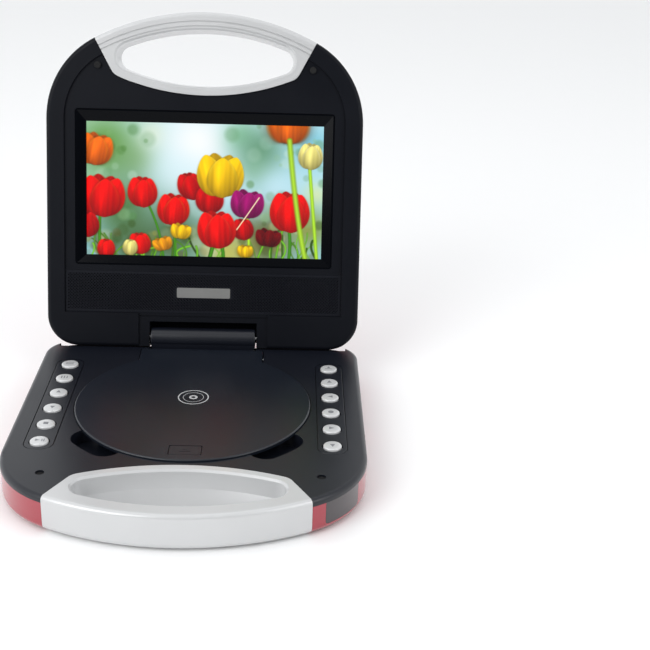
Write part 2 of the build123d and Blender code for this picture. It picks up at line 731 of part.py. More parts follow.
with BuildPart() as laser_sled:
    sled_s = (SLED_START, SLED_START + SLED_LENGTH)
    slab(BASE, (-SLED_HALF, SLED_HALF), sled_s, SLED_DEPTH, radius=SLED_ROUND)
    slab(
        BASE,
        (-SLED_HEAD_HALF, SLED_HEAD_HALF),
        (SLED_START + 2, SLED_START + 14),
        (SLED_HEAD_TOP, SLED_DEPTH[0] + 0.5),
        radius=SLED_ROUND,
    )
    for side in (-1, 1):
        with BuildSketch(along(BASE, side * ROD_X, SLED_START - 1, ROD_DEPTH)):
            Circle(ROD_RADIUS + RUNNING_FIT)
        extrude(amount=SLED_LENGTH + 2, mode=Mode.SUBTRACT)
    # channel for the lead screw, open below
    slab(
        BASE,
        (SCREW_X - LEAD_CHANNEL, SCREW_X + LEAD_CHANNEL),
        (sled_s[0] - 1, sled_s[1] + 1),
        (ROD_DEPTH - LEAD_CHANNEL, SLED_DEPTH[1] + 1),
        Mode.SUBTRACT,
    )
finish(laser_sled, "laser_sled")

with BuildPart() as laser_lens:
    with BuildSketch(BASE.offset(SLED_HEAD_TOP - LENS_THICK)):
        with Locations((0, SLED_START + LENS_OFFSET)):
            Circle(LENS_RADIUS)
    extrude(amount=LENS_THICK)
    fillet(laser_lens.faces().sort_by(inward(BASE))[0].edges(), 0.6)
finish(laser_lens, "laser_lens")

with BuildPart() as lead_screw:
    with BuildSketch(along(BASE, SCREW_X, LEAD_S[0], ROD_DEPTH)):
        Circle(LEAD_RADIUS)
    extrude(amount=LEAD_S[1] - LEAD_S[0])
finish(lead_screw, "lead_screw")

with BuildPart() as feed_motor:
    with BuildSketch(along(BASE, SCREW_X, LEAD_S[1] + 0.2, ROD_DEPTH)):
        Circle(FEED_MOTOR_RADIUS)
    extrude(amount=FEED_MOTOR_LENGTH)
    with BuildSketch(along(BASE, SCREW_X, LEAD_S[1] + FEED_MOTOR_LENGTH + 0.2, ROD_DEPTH)):
        Rectangle(3 * FEED_MOTOR_RADIUS, 2 * FEED_MOTOR_RADIUS)
    extrude(amount=1.2)
finish(feed_motor, "feed_motor")


# ---- electronics and battery ----------------------------------------------------------------

BATTERY = ((-60.0, 60.0), (19.0, 61.0), (10.6, 17.6))

with BuildPart() as battery_pack:
    slab(BASE, *BATTERY, radius=3.0)
    fillet(battery_pack.edges().filter_by(GeomType.LINE, reverse=True), 0.6)
finish(battery_pack, "battery_pack")

PCB_THICK = 1.2
PCB_TOP = 16.6
PCB_UNDER = PCB_TOP + PCB_THICK
CHIP_THICK = 0.9
MAIN_BOARD = ((-66.0, 66.0), (107.2, 156.0), (PCB_TOP, PCB_UNDER))
DECODER = ((-12.0, 8.0), (124.0, 144.0), (PCB_UNDER, PCB_UNDER + CHIP_THICK))
MEMORY = ((16.0, 30.0), (120.0, 132.0), (PCB_UNDER, PCB_UNDER + CHIP_THICK))
SHIELD_CAN = ((-52.0, -38.0), (120.0, 146.0), (PCB_TOP - 2.2, PCB_TOP))

with BuildPart() as main_board:
    slab(BASE, *MAIN_BOARD, radius=2.0)
    round_slab(BASE, DAMPER_PLACES, DAMPER_RADIUS + 0.4, (PCB_TOP - 1, PCB_UNDER + 1), Mode.SUBTRACT)
    for block in (DECODER, MEMORY, SHIELD_CAN):
        slab(BASE, *block)
finish(main_board, "main_board")

BUTTON_BOARD_HALF = 7.0
BUTTON_BOARD_S = (28.0, 142.0)
BUTTON_BOARD_DEPTH = (6.6, 7.6)
TACT_SIDE = 5.0
TACT_TOP = 5.7
TACT_STEM_RADIUS = 1.3
TACT_STEM_TOP = 5.1

with BuildPart() as button_boards:
    for side in (-1, 1):
        board_x = (side * BUTTON_X - BUTTON_BOARD_HALF, side * BUTTON_X + BUTTON_BOARD_HALF)
        slab(BASE, board_x, BUTTON_BOARD_S, BUTTON_BOARD_DEPTH, radius=1.0)
    with BuildSketch(BASE.offset(TACT_TOP)):
        with Locations(BUTTON_PLACES):
            Rectangle(TACT_SIDE, TACT_SIDE)
    extrude(amount=BUTTON_BOARD_DEPTH[0] - TACT_TOP)
    round_slab(BASE, BUTTON_PLACES, TACT_STEM_RADIUS, (TACT_STEM_TOP, TACT_TOP))
finish(button_boards, "button_boards")


# ---- button strips and buttons ------------------------------------------------------------

with BuildPart() as button_strips:
    with BuildSketch(BASE):
        add(strip_outline())
        with Locations(BUTTON_PLACES):
            Circle(BUTTON_HOLE, mode=Mode.SUBTRACT)
    extrude(amount=STRIP_THICK)
    for strip_face in button_strips.faces().group_by(inward(BASE))[0]:
        fillet(strip_face.outer_wire().edges(), 0.3)
finish(button_strips, "button_strips")

FLANGE_RADIUS = 6.8
FLANGE_DEPTH = (3.0, 3.8)
STEM_RADIUS = 1.6
STEM_END = 4.2


def control_button(place, name):
    """A domed button with a flange that keeps it under the deck, and a stem over its switch."""
    with BuildPart() as button:
        round_slab(BASE, [place], BUTTON_RADIUS, (-BUTTON_RISE, FLANGE_DEPTH[1]))
        fillet(button.faces().sort_by(inward(BASE))[0].edges(), 0.9)
        round_slab(BASE, [place], FLANGE_RADIUS, FLANGE_DEPTH)
        round_slab(BASE, [place], STEM_RADIUS, (FLANGE_DEPTH[1], STEM_END))
    finish(button, name)


for number, place in enumerate(BUTTON_PLACES):
    side_name = "left" if place[0] < 0 else "right"
    control_button(place, f"button_{side_name}_{number % BUTTON_COUNT + 1}")


# ---- sockets, switch, volume wheel and infrared window on the right side ------------------------

JACK_LENGTH = 12.0
JACK_FACE_X = HALF_WIDTH - 0.4
JACK_BACK_WALL = 1.0
POWER_BORE_LENGTH = 10.0


def jack_body(s, nose_radius):
    """The block of a socket, with a round nose that passes the shell's wall."""
    with BuildSketch(across(BASE, JACK_FACE_X - JACK_LENGTH, s, JACK_DEPTH)) as block:
        Rectangle(2 * nose_radius + 1.6, 2 * nose_radius + 1.2)
    extrude(block.sketch, amount=JACK_LENGTH - WALL)
    with BuildSketch(across(BASE, JACK_FACE_X - WALL, s, JACK_DEPTH)) as nose:
        Circle(nose_radius - SEAM)
    extrude(nose.sketch, amount=WALL)


with BuildPart() as audio_jacks:
    for s in (HEADPHONE_S, AV_S):
        jack_body(s, JACK_NOSE_RADIUS)
        bore_start = JACK_FACE_X - JACK_LENGTH + JACK_BACK_WALL
        with BuildSketch(across(BASE, bore_start, s, JACK_DEPTH)):
            Circle(PLUG_RADIUS)
        extrude(amount=JACK_LENGTH, mode=Mode.SUBTRACT)
finish(audio_jacks, "audio_jacks")

with BuildPart() as power_jack:
    jack_body(POWER_JACK_S, POWER_NOSE_RADIUS)
    with BuildSketch(across(BASE, JACK_FACE_X - POWER_BORE_LENGTH, POWER_JACK_S, JACK_DEPTH)):
        Circle(POWER_BORE_RADIUS)
        Circle(POWER_PIN_RADIUS, mode=Mode.SUBTRACT)
    extrude(amount=POWER_BORE_LENGTH + 1, mode=Mode.SUBTRACT)
finish(power_jack, "power_jack")

VOLUME_RADIUS = 7.0
VOLUME_X = HALF_WIDTH - VOLUME_RADIUS + 1.4
VOLUME_DEPTH = (11.9, 14.1)
VOLUME_PIN_RADIUS = 1.2
KNURL_COUNT = 30
KNURL_RADIUS = 0.3

with BuildPart() as volume_wheel:
    round_slab(BASE, [(VOLUME_X, VOLUME_S)], VOLUME_RADIUS, VOLUME_DEPTH)
    with BuildSketch(BASE.offset(VOLUME_DEPTH[0])):
        with Locations((VOLUME_X, VOLUME_S)):
            with PolarLocations(VOLUME_RADIUS, KNURL_COUNT):
                Circle(KNURL_RADIUS)
    extrude(amount=VOLUME_DEPTH[1] - VOLUME_DEPTH[0], mode=Mode.SUBTRACT)
    round_slab(
        BASE,
        [(VOLUME_X, VOLUME_S)],
        VOLUME_PIN_RADIUS + RUNNING_FIT,
        (VOLUME_DEPTH[0] - 1, VOLUME_DEPTH[1] + 1),
        Mode.SUBTRACT,
    )
finish(volume_wheel, "volume_wheel")

# the switch knob, its guide plate behind the wall, and the bodies of both controls, as (x, s, depth)
KNOB = ((HALF_WIDTH - 5.4, HALF_WIDTH + 0.9), (SWITCH_S - 4.4, SWITCH_S + 1.4), (11.5, 13.7))
KNOB_PLATE = ((HALF_WIDTH - 3.8, HALF_WIDTH - 2.6), (SWITCH_S - 6.6, SWITCH_S + 3.6), (10.7, 14.5))
SWITCH_BODY = ((HALF_WIDTH - 10.4, HALF_WIDTH - 5.6), (SWITCH_S - 7, SWITCH_S + 7), (10.4, 15.0))
VOLUME_BODY = ((VOLUME_X - 6, VOLUME_X + 3), (VOLUME_S - 5, VOLUME_S + 5), (14.5, 17.0))

with BuildPart() as power_switch_knob:
    slab(BASE, *KNOB)
    slab(BASE, *KNOB_PLATE)
finish(power_switch_knob, "power_switch_knob")

with BuildPart() as side_controls:
    slab(BASE, *VOLUME_BODY, radius=0.5)
    round_slab(BASE, [(VOLUME_X, VOLUME_S)], VOLUME_PIN_RADIUS, (11.4, VOLUME_BODY[2][0]))
    slab(BASE, *SWITCH_BODY)
finish(side_controls, "side_controls")

with BuildPart() as infrared_window:
    corner_plate(CORNER_RADIUS - WALL, CORNER_RADIUS, SEAM, Mode.ADD)
finish(infrared_window, "infrared_window")

RECEIVER_HALF = 3.0
RECEIVER_SETBACK = 9.0
RECEIVER_DEPTH = (8.0, 14.0)

with BuildPart() as infrared_receiver:
    middle = math.radians((WINDOW_START + WINDOW_END) / 2)
    reach = CORNER_RADIUS - RECEIVER_SETBACK
    spot = (CORNER_CENTRE_X + reach * math.cos(middle), SIDE_END + reach * math.sin(middle))
    receiver_x = (spot[0] - RECEIVER_HALF, spot[0] + RECEIVER_HALF)
    receiver_s = (spot[1] - RECEIVER_HALF, spot[1] + RECEIVER_HALF)
    slab(BASE, receiver_x, receiver_s, RECEIVER_DEPTH)
    round_slab(BASE, [spot], 1.0, (RECEIVER_DEPTH[1], FLOOR))
finish(infrared_receiver, "infrared_receiver")


# ---- feet and screws ------------------------------------------------------------------------

FOOT_PLACES = both_sides(84.0, 18.0) + both_sides(80.0, 146.0)
FOOT_RADIUS = 6.0
SCREW_SINK = 0.3
SCREW_SLOT = (2.6, 0.6, 1.2)

with BuildPart() as rubber_feet:
    round_slab(BASE, FOOT_PLACES, FOOT_RADIUS, (BASE_THICK, BASE_THICK + FOOT_HEIGHT))
    fillet(rubber_feet.faces().group_by(Axis.Z)[0].edges(), 0.4)
finish(rubber_feet, "rubber_feet")



def shell_screws(face, places, thick, tip):
    """Sunk screws with crossed slots, from the back of a shell up to the depth of their tips."""
    round_slab(face, places, SCREW_HEAD_RADIUS, (thick - SCREW_HEAD_DEPTH, thick - SCREW_SINK))
    round_slab(face, places, SCREW_SHANK_RADIUS, (tip, thick - SCREW_HEAD_DEPTH))
    with BuildSketch(face.offset(thick - SCREW_SLOT[2])) as slots:
        with Locations(places):
            Rectangle(SCREW_SLOT[0], SCREW_SLOT[1])
            Rectangle(SCREW_SLOT[1], SCREW_SLOT[0])
    extrude(slots.sketch, amount=SCREW_SLOT[2], mode=Mode.SUBTRACT)


with BuildPart() as base_screws:
    shell_screws(BASE, SCREW_PLACES, BASE_THICK, BOSS_TOP + 1)
finish(base_screws, "base_screws")


# ---- main hinge -----------------------------------------------------------------------------

NECK_HALF_X = BARREL_HALF - 0.8
NECK_HALF_S = 6.0
BRACKET_X = (39.0, 48.0)
KNUCKLE_RADIUS = 2.75
KNUCKLE_GAP = 0.4
LEAF_THICK = 1.2
LEAF_END = 30.0
LEAF_BACK = AXIS_SETBACK + KNUCKLE_RADIUS
LEAF_FRONT = LEAF_BACK - LEAF_THICK
BRACKET_BOSSES = both_sides(43.5, 12.0) + both_sides(43.5, 25.0)
BRACKET_SCREW_RADIUS = 1.0
BRACKET_HEAD = (1.9, 0.9)
BRACKET_POST_RADIUS = 2.2

with BuildPart() as hinge_barrel:
    with BuildSketch(across(BASE, -BARREL_HALF, 0, -AXIS_RISE)):
        Circle(BARREL_RADIUS)
    extrude(amount=2 * BARREL_HALF)
    fillet(hinge_barrel.faces().filter_by(Axis.X).edges(), 0.8)
    slab(BASE, (-NECK_HALF_X, NECK_HALF_X), (-NECK_HALF_S, NECK_HALF_S), (-AXIS_RISE, RIM))
    for side in (-1, 1):
        start = HINGE_SHAFT_INNER if side > 0 else -BARREL_HALF
        with BuildSketch(across(BASE, start, 0, -AXIS_RISE)):
            Circle(HINGE_SHAFT_RADIUS)
        extrude(amount=BARREL_HALF - HINGE_SHAFT_INNER, mode=Mode.SUBTRACT)
finish(hinge_barrel, "hinge_barrel")

with BuildPart() as hinge_shafts:
    for side in (-1, 1):
        start = HINGE_SHAFT_INNER if side > 0 else -HINGE_SHAFT_OUTER
        with BuildSketch(across(BASE, start, 0, -AXIS_RISE)):
            Circle(HINGE_SHAFT_RADIUS)
        extrude(amount=HINGE_SHAFT_OUTER - HINGE_SHAFT_INNER)
finish(hinge_shafts, "hinge_shafts")

with BuildPart() as hinge_brackets:
    for side in (-1, 1):
        ends = sorted((side * BRACKET_X[0], side * BRACKET_X[1]))
        slab(LID, ends, (0, LEAF_END), (LEAF_FRONT, LEAF_BACK))
        with BuildSketch(across(LID, ends[0], 0, AXIS_SETBACK)):
            Circle(KNUCKLE_RADIUS)
        extrude(amount=ends[1] - ends[0])
        with BuildSketch(across(LID, ends[0] - 1, 0, AXIS_SETBACK)):
            Circle(HINGE_SHAFT_RADIUS + RUNNING_FIT)
        extrude(amount=ends[1] - ends[0] + 2, mode=Mode.SUBTRACT)
    round_slab(LID, BRACKET_BOSSES, BRACKET_SCREW_RADIUS, (LEAF_FRONT - 1, LEAF_BACK + 1), Mode.SUBTRACT)
finish(hinge_brackets, "hinge_brackets")


# ---- lid: front frame and back cover -----------------------------------------------------------

COVER_INSET = 2.6
SHAFT_HOLE_RADIUS = 3.2
LID_BOSS_TOP = 5.2
LID_SCREW_PLACES = both_sides(92.5, 26.0) + both_sides(92.5, 104.0) + both_sides(75.0, 157.0)
BUMPER_PLACES = both_sides(69.1, 176.7)
BUMPER_RADIUS = 2.2
BUMPER_RISE = 0.4
SPEAKER_PLACES = both_sides(68.0, 30.5)
SPEAKER_HALF = (18.0, 12.0)
SPEAKER_MOUTH = (15.0, 9.0)
SPEAKER_DEPTH = (5.2, 8.4)
GRILLE_SEAT = PANEL_DROP + GRILLE_THICK
PLATE_BACK = RIM + 0.4


def rectangle_region(x, s, radius=0.0):
    """A rectangle on a face, with rounded corners."""
    with BuildSketch() as region:
        with Locations(((x[0] + x[1]) / 2, (s[0] + s[1]) / 2)):
            Rectangle(x[1] - x[0], s[1] - s[0])
        if radius:
            fillet(region.vertices(), radius)
    return region.sketch


def panel_region(inset, start):
    """The lowered middle of the lid face, from a starting line up to the handle."""
    with BuildSketch() as region:
        add(plan(inset))
        add(HANDLE_ZONE_SEAM, mode=Mode.SUBTRACT)
        add(rectangle_region((-HALF_WIDTH, HALF_WIDTH), (2 * REAR_EDGE, start)), mode=Mode.SUBTRACT)
    return region.sketch


def shaft_holes(radius):
    """Clear the hinge shafts through the walls beside the barrel slot."""
    reach = SLOT_HALF + WALL + 1
    with BuildSketch(across(LID, -reach, 0, AXIS_SETBACK)) as profile:
        Circle(radius)
    extrude(profile.sketch, amount=2 * reach, mode=Mode.SUBTRACT)


with BuildPart() as lid_frame:
    rounded_slab(LID, 0, RIM, EDGE_ROUND, 0)
    region_slab(LID, (0, RIM), HANDLE_ZONE_SEAM)
    hollow(LID, (DECK_THICK, RIM), WALL, HANDLE_ZONE_WALL)
    # thicker behind the lowered panel, the hinge pad and the grille
    panel_back = panel_region(PANEL_INSET - WALL, PANEL_START - WALL)
    region_slab(LID, (DECK_THICK, RIM), panel_back, Mode.ADD)
    pad_back = (KNUCKLE_RADIUS + KNUCKLE_GAP, PANEL_START)
    slab(LID, (-PAD_HALF - WALL, PAD_HALF + WALL), pad_back, (DECK_THICK, RIM))
    slab(LID, (-GRILLE_HALF_X, GRILLE_HALF_X), GRILLE_S, (DECK_THICK, PLATE_BACK))
    # lowered panel and hinge pad
    region_slab(LID, (-1, PANEL_DROP), panel_region(PANEL_INSET, PANEL_START))
    slab(LID, (-PAD_HALF, PAD_HALF), (2 * REAR_EDGE, PANEL_START), (-1, PAD_DROP), Mode.SUBTRACT)
    slab(
        LID,
        (-PAD_HALF, PAD_HALF),
        (PAD_LINE - GROOVE_WIDTH, PAD_LINE),
        (PAD_DROP, PAD_DROP + GROOVE_DEPTH),
        Mode.SUBTRACT,
    )
    slab(LID, (-SLOT_HALF, SLOT_HALF), (2 * REAR_EDGE, SLOT_TOP), (-1, RIM + 1), Mode.SUBTRACT)
    # openings for the screen, the grille, the speakers and the bumpers
    slab(
        LID,
        (-BEZEL_HALF_X - SEAM, BEZEL_HALF_X + SEAM),
        (BEZEL_S[0] - SEAM, BEZEL_S[1] + SEAM),
        (0, RIM + 1),
        Mode.SUBTRACT,
        radius=2.0,
    )
    slab(
        LID,
        (-GRILLE_HALF_X - SEAM, GRILLE_HALF_X + SEAM),
        (GRILLE_S[0] - SEAM, GRILLE_S[1] + SEAM),
        (0, GRILLE_SEAT),
        Mode.SUBTRACT,
    )
    for x, s in SPEAKER_PLACES:
        mouth_x = (x - SPEAKER_MOUTH[0], x + SPEAKER_MOUTH[0])
        mouth_s = (s - SPEAKER_MOUTH[1], s + SPEAKER_MOUTH[1])
        slab(LID, mouth_x, mouth_s, (0, PLATE_BACK + 1), Mode.SUBTRACT, radius=5.0)
    round_slab(LID, BRACKET_BOSSES, BRACKET_POST_RADIUS, (RIM - 0.4, LEAF_FRONT))
    round_slab(LID, BRACKET_BOSSES, BRACKET_SCREW_RADIUS, (RIM, LEAF_FRONT), Mode.SUBTRACT)
    round_slab(LID, BUMPER_PLACES, BUMPER_RADIUS, (-1, 1), Mode.SUBTRACT)
finish(lid_frame, "lid_frame")

with BuildPart() as lid_cover:
    rounded_slab(LID, RIM, LID_THICK, LID_BACK_ROUND, -1)
    region_slab(LID, (RIM, LID_THICK), HANDLE_ZONE_SEAM)
    with BuildSketch(LID.offset(RIM)):
        add(plan(COVER_INSET))
        add(HANDLE_ZONE_WALL, mode=Mode.SUBTRACT)
        add(
            rectangle_region(
                (-SLOT_HALF - WALL, SLOT_HALF + WALL), (2 * REAR_EDGE, SLOT_TOP + WALL)
            ),
            mode=Mode.SUBTRACT,
        )
    extrude(amount=LID_THICK - WALL - RIM, mode=Mode.SUBTRACT)
    slot_depth = (RIM - 1, LID_THICK - WALL)
    slab(LID, (-SLOT_HALF, SLOT_HALF), (2 * REAR_EDGE, SLOT_TOP), slot_depth, Mode.SUBTRACT)
    shaft_holes(SHAFT_HOLE_RADIUS)
    round_slab(LID, LID_SCREW_PLACES, BOSS_RADIUS, (LID_BOSS_TOP, LID_THICK - WALL))
    round_slab(LID, LID_SCREW_PLACES, SCREW_SHANK_RADIUS, (LID_BOSS_TOP, LID_THICK), Mode.SUBTRACT)
    round_slab(
        LID,
        LID_SCREW_PLACES,
        SCREW_HEAD_RADIUS + SEAM,
        (LID_THICK - SCREW_HEAD_DEPTH, LID_THICK),
        Mode.SUBTRACT,
    )
finish(lid_cover, "lid_cover")

with BuildPart() as lid_screws:
    shell_screws(LID, LID_SCREW_PLACES, LID_THICK, LID_BOSS_TOP + 1)
finish(lid_screws, "lid_screws")

with BuildPart() as hinge_screws:
    round_slab(LID, BRACKET_BOSSES, BRACKET_SCREW_RADIUS, (RIM + SEAM, LEAF_BACK))
    round_slab(LID, BRACKET_BOSSES, BRACKET_HEAD[0], (LEAF_BACK, LEAF_BACK + BRACKET_HEAD[1]))
finish(hinge_screws, "hinge_screws")

with BuildPart() as lid_bumpers:
    round_slab(LID, BUMPER_PLACES, BUMPER_RADIUS - RUNNING_FIT, (-BUMPER_RISE, 1))
    fillet(lid_bumpers.faces().group_by(inward(LID))[0].edges(), 0.3)
finish(lid_bumpers, "lid_bumpers")


# ---- lid: screen and sound ----------------------------------------------------------------------

BEZEL_FRONT = PANEL_DROP + 0.2
BEZEL_BACK = 5.0
BEZEL_LAND = 1.0
LCD_BORDER = 2.6
LCD_THICK = 1.4
MODULE_THICK = 3.2

with BuildPart() as screen_bezel:
    slab(LID, (-BEZEL_HALF_X, BEZEL_HALF_X), BEZEL_S, (BEZEL_FRONT, BEZEL_BACK), radius=2.0)
    with BuildSketch(LID.offset(BEZEL_FRONT)):
        add(
            rectangle_region(
                (-BEZEL_HALF_X + BEZEL_LAND, BEZEL_HALF_X - BEZEL_LAND),
                (BEZEL_S[0] + BEZEL_LAND, BEZEL_S[1] - BEZEL_LAND),
            )
        )
    with BuildSketch(LID.offset(BEZEL_FRONT + BEZEL_SLOPE)):
        add(rectangle_region((-LCD_HALF_X, LCD_HALF_X), LCD_S))
    loft(mode=Mode.SUBTRACT)
    slab(LID, (-LCD_HALF_X, LCD_HALF_X), LCD_S, (BEZEL_FRONT, BEZEL_BACK), Mode.SUBTRACT)
finish(screen_bezel, "screen_bezel")

LCD_OUTER_X = (-LCD_HALF_X - LCD_BORDER, LCD_HALF_X + LCD_BORDER)
LCD_OUTER_S = (LCD_S[0] - LCD_BORDER, LCD_S[1] + LCD_BORDER)

with BuildPart() as lcd_panel:
    slab(LID, LCD_OUTER_X, LCD_OUTER_S, (BEZEL_BACK, BEZEL_BACK + LCD_THICK))
finish(lcd_panel, "lcd_panel")

with BuildPart() as lcd_backlight:
    start = BEZEL_BACK + LCD_THICK
    slab(LID, LCD_OUTER_X, LCD_OUTER_S, (start, start + MODULE_THICK), radius=1.0)
finish(lcd_backlight, "lcd_backlight")

SCREEN_BOARD = ((-52.0, 52.0), (66.0, 112.0), (12.0, 13.2))
SCREEN_CHIP = ((-10.0, 10.0), (82.0, 96.0), (11.2, 12.0))
SCREEN_CONVERTER = ((26.0, 44.0), (74.0, 84.0), (10.2, 12.0))

with BuildPart() as screen_board:
    slab(LID, *SCREEN_BOARD, radius=2.0)
    slab(LID, *SCREEN_CHIP)
    slab(LID, *SCREEN_CONVERTER)
finish(screen_board, "screen_board")

with BuildPart() as speaker_grille:
    slab(LID, (-GRILLE_HALF_X, GRILLE_HALF_X), GRILLE_S, (PANEL_DROP, GRILLE_SEAT))
finish(speaker_grille, "speaker_grille")

MAGNET_RADIUS = 8.0
MAGNET_END = 13.0

with BuildPart() as speakers:
    for place in SPEAKER_PLACES:
        slab(
            LID,
            (place[0] - SPEAKER_HALF[0], place[0] + SPEAKER_HALF[0]),
            (place[1] - SPEAKER_HALF[1], place[1] + SPEAKER_HALF[1]),
            SPEAKER_DEPTH,
            radius=5.0,
        )
        round_slab(LID, [place], MAGNET_RADIUS, (SPEAKER_DEPTH[1], MAGNET_END))
finish(speakers, "speakers")

PLATE_HALF_X = 17.5
PLATE_S = (27.2, 33.8)
PLATE_THICK = 0.5

with BuildPart() as name_plate:
    slab(LID, (-PLATE_HALF_X, PLATE_HALF_X), PLATE_S, (PANEL_DROP - PLATE_THICK, PANEL_DROP), radius=0.8)
finish(name_plate, "name_plate")


# ---- write the pieces -----------------------------------------------------------------------------

os.makedirs("parts", exist_ok=True)
for piece in PIECES:
    export_step(piece, f"parts/{piece.label}.step")
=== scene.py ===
import json
import math

import bmesh
import bpy
import numpy as np
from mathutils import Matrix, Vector


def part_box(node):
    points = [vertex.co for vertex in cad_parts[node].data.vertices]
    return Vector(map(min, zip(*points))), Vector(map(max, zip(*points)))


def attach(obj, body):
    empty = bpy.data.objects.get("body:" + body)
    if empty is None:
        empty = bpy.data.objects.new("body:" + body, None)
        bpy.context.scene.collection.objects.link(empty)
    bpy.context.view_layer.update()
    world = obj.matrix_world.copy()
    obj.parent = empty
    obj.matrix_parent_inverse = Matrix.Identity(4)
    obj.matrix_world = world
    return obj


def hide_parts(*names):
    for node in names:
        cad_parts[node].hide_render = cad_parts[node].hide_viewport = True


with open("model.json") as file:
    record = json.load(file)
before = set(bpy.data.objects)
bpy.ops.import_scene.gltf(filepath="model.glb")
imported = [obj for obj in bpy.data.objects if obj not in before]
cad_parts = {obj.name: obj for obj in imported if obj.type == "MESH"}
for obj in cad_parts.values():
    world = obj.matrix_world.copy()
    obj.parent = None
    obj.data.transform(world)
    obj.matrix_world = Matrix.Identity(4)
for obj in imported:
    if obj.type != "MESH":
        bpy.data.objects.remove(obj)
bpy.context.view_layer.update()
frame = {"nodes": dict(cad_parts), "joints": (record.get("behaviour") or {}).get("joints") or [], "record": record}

# Portable DVD player, standing open. Lengths in this script are millimetres on a face of the
# player, and Face.at turns them into metres in the frame.

MM = 0.001
NODES = frame["nodes"]
JOINTS = {joint["name"]: joint for joint in frame["joints"]}

# ---- places on the player ------------------------------------------------------------------------

AXIS_SETBACK = 5.1  # hinge axis behind the face of the lid


class Face:
    """A face of the player: x across, s from the hinge towards the handle, depth into the shell."""

    def __init__(self, origin, across, along, inward):
        self.origin, self.across, self.along, self.inward = origin, across, along, inward

    def at(self, x, s, depth=0.0):
        return self.origin + (self.across * x + self.along * s + self.inward * depth) * MM


HINGE = Vector(JOINTS["lid_hinge"]["pos_m"])
OPEN = -math.radians(JOINTS["lid_hinge"]["range_deg"][0])
DECK_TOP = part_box("deck")[1].z
LID_INWARD = Vector((0, math.sin(OPEN), math.cos(OPEN)))
LID_ALONG = Vector((0, -math.cos(OPEN), math.sin(OPEN)))
ACROSS = Vector((1, 0, 0))

BASE = Face(Vector((0, HINGE.y, DECK_TOP)), ACROSS, Vector((0, -1, 0)), Vector((0, 0, -1)))
LID = Face(HINGE - LID_INWARD * AXIS_SETBACK * MM, ACROSS, LID_ALONG, LID_INWARD)

BUTTON_X = 83.0
BUTTON_FIRST = 33.95
BUTTON_PITCH = 20.33
BUTTON_COUNT = 6
LCD_HALF_X = 77.04
LCD_S = (54.46, 141.04)
LCD_DEPTH = 5.0
GRILLE_HALF_X = 90.6
GRILLE_S = (17.0, 44.0)
GRILLE_DEPTH = 1.4
GRILLE_THICK = 1.2

# ---- camera and light ----------------------------------------------------------------------------

CAMERA_FROM_HINGE = (0.05644, -0.74467, 0.33355)  # metres
CAMERA_TURN = (66.588, -1.751, -1.12)  # degrees
CAMERA_LENS = 67.51
CAMERA_SENSOR = 36.0
CAMERA_RANGE = (0.05, 20.0)

# soft boxes: name, place, target, size (all in metres), power in watts
SOFT_BOXES = (
    ("key", (-0.85, -0.95, 0.85), (0, -0.05, 0.05), (0.9, 0.9), 10.0),
    ("fill", (0.95, -0.65, 0.75), (0, -0.05, 0.05), (0.7, 0.7), 3.2),
    ("top", (-0.2, 0.3, 1.4), (0, 0, 0.05), (1.4, 1.0), 1.5),
)

# brightness of the studio: (direction, level) stops along each axis, multiplied together
SKY_COLOR = (0.97, 0.985, 1.0, 1.0)
SKY_BY_HEIGHT = [(0.0, 1.35), (0.3, 1.1), (0.7, 0.86)]
SKY_BY_DEPTH = [(-0.97, 0.1), (-0.84, 0.14), (-0.62, 1.0), (0.2, 1.0)]
SKY_BY_SIDE = [(-0.7, 1.06), (0.7, 0.92)]

FLOOR_HALF = 4.0
FLOOR_CELLS = 8
FLOOR_COLOR = (0.97, 0.97, 0.97)


def make_camera():
    camera = bpy.data.cameras.new("camera")
    camera.lens = CAMERA_LENS
    camera.sensor_width = CAMERA_SENSOR
    camera.clip_start, camera.clip_end = CAMERA_RANGE
    eye = bpy.data.objects.new("camera", camera)
    eye.location = HINGE + Vector(CAMERA_FROM_HINGE)
    eye.rotation_euler = [math.radians(angle) for angle in CAMERA_TURN]
    bpy.context.scene.collection.objects.link(eye)
    bpy.context.scene.camera = eye


def make_lights():
    """Three rectangular soft boxes, each pointing at its target."""
    for name, place, target, size, power in SOFT_BOXES:
        light = bpy.data.lights.new(name, "AREA")
        light.shape = "RECTANGLE"
        light.size, light.size_y = size
        light.energy = power
        lamp = bpy.data.objects.new(name, light)
        lamp.location = place
        lamp.rotation_mode = "QUATERNION"
        lamp.rotation_quaternion = (Vector(target) - Vector(place)).to_track_quat("-Z", "Y")
        bpy.context.scene.collection.objects.link(lamp)


def make_world():
    """White studio: brightest along the horizon, with a dark patch in front of the player."""
    world = bpy.data.worlds.new("studio")
    world.use_nodes = True
    bpy.context.scene.world = world
    tree = world.node_tree
    shade = Shader(tree)
    background = tree.nodes["Background"]
    direction = shade.node("ShaderNodeTexCoord").outputs["Generated"]
    split = shade.node("ShaderNodeSeparateXYZ", Vector=direction)
    height = shade.ramp(split.outputs["Z"], SKY_BY_HEIGHT)
    front = shade.ramp(split.outputs["Y"], SKY_BY_DEPTH)
    side = shade.ramp(split.outputs["X"], SKY_BY_SIDE)
    level = shade.math("MULTIPLY", shade.math("MULTIPLY", height, front), side)
    tree.links.new(level, background.inputs["Strength"])
    background.inputs["Color"].default_value = SKY_COLOR


def make_floor():
    """A plain pale floor."""
    mesh = bpy.data.meshes.new("floor")
    bm = bmesh.new()
    bmesh.ops.create_grid(bm, x_segments=FLOOR_CELLS, y_segments=FLOOR_CELLS, size=FLOOR_HALF)
    bm.to_mesh(mesh)
    bm.free()
    floor = bpy.data.objects.new("floor", mesh)
    bpy.context.scene.collection.objects.link(floor)
    material = moulded("pale_floor", FLOOR_COLOR, rough=0.6, grain=60.0, depth=0.00001, spread=0.01)
    mesh.materials.append(material)


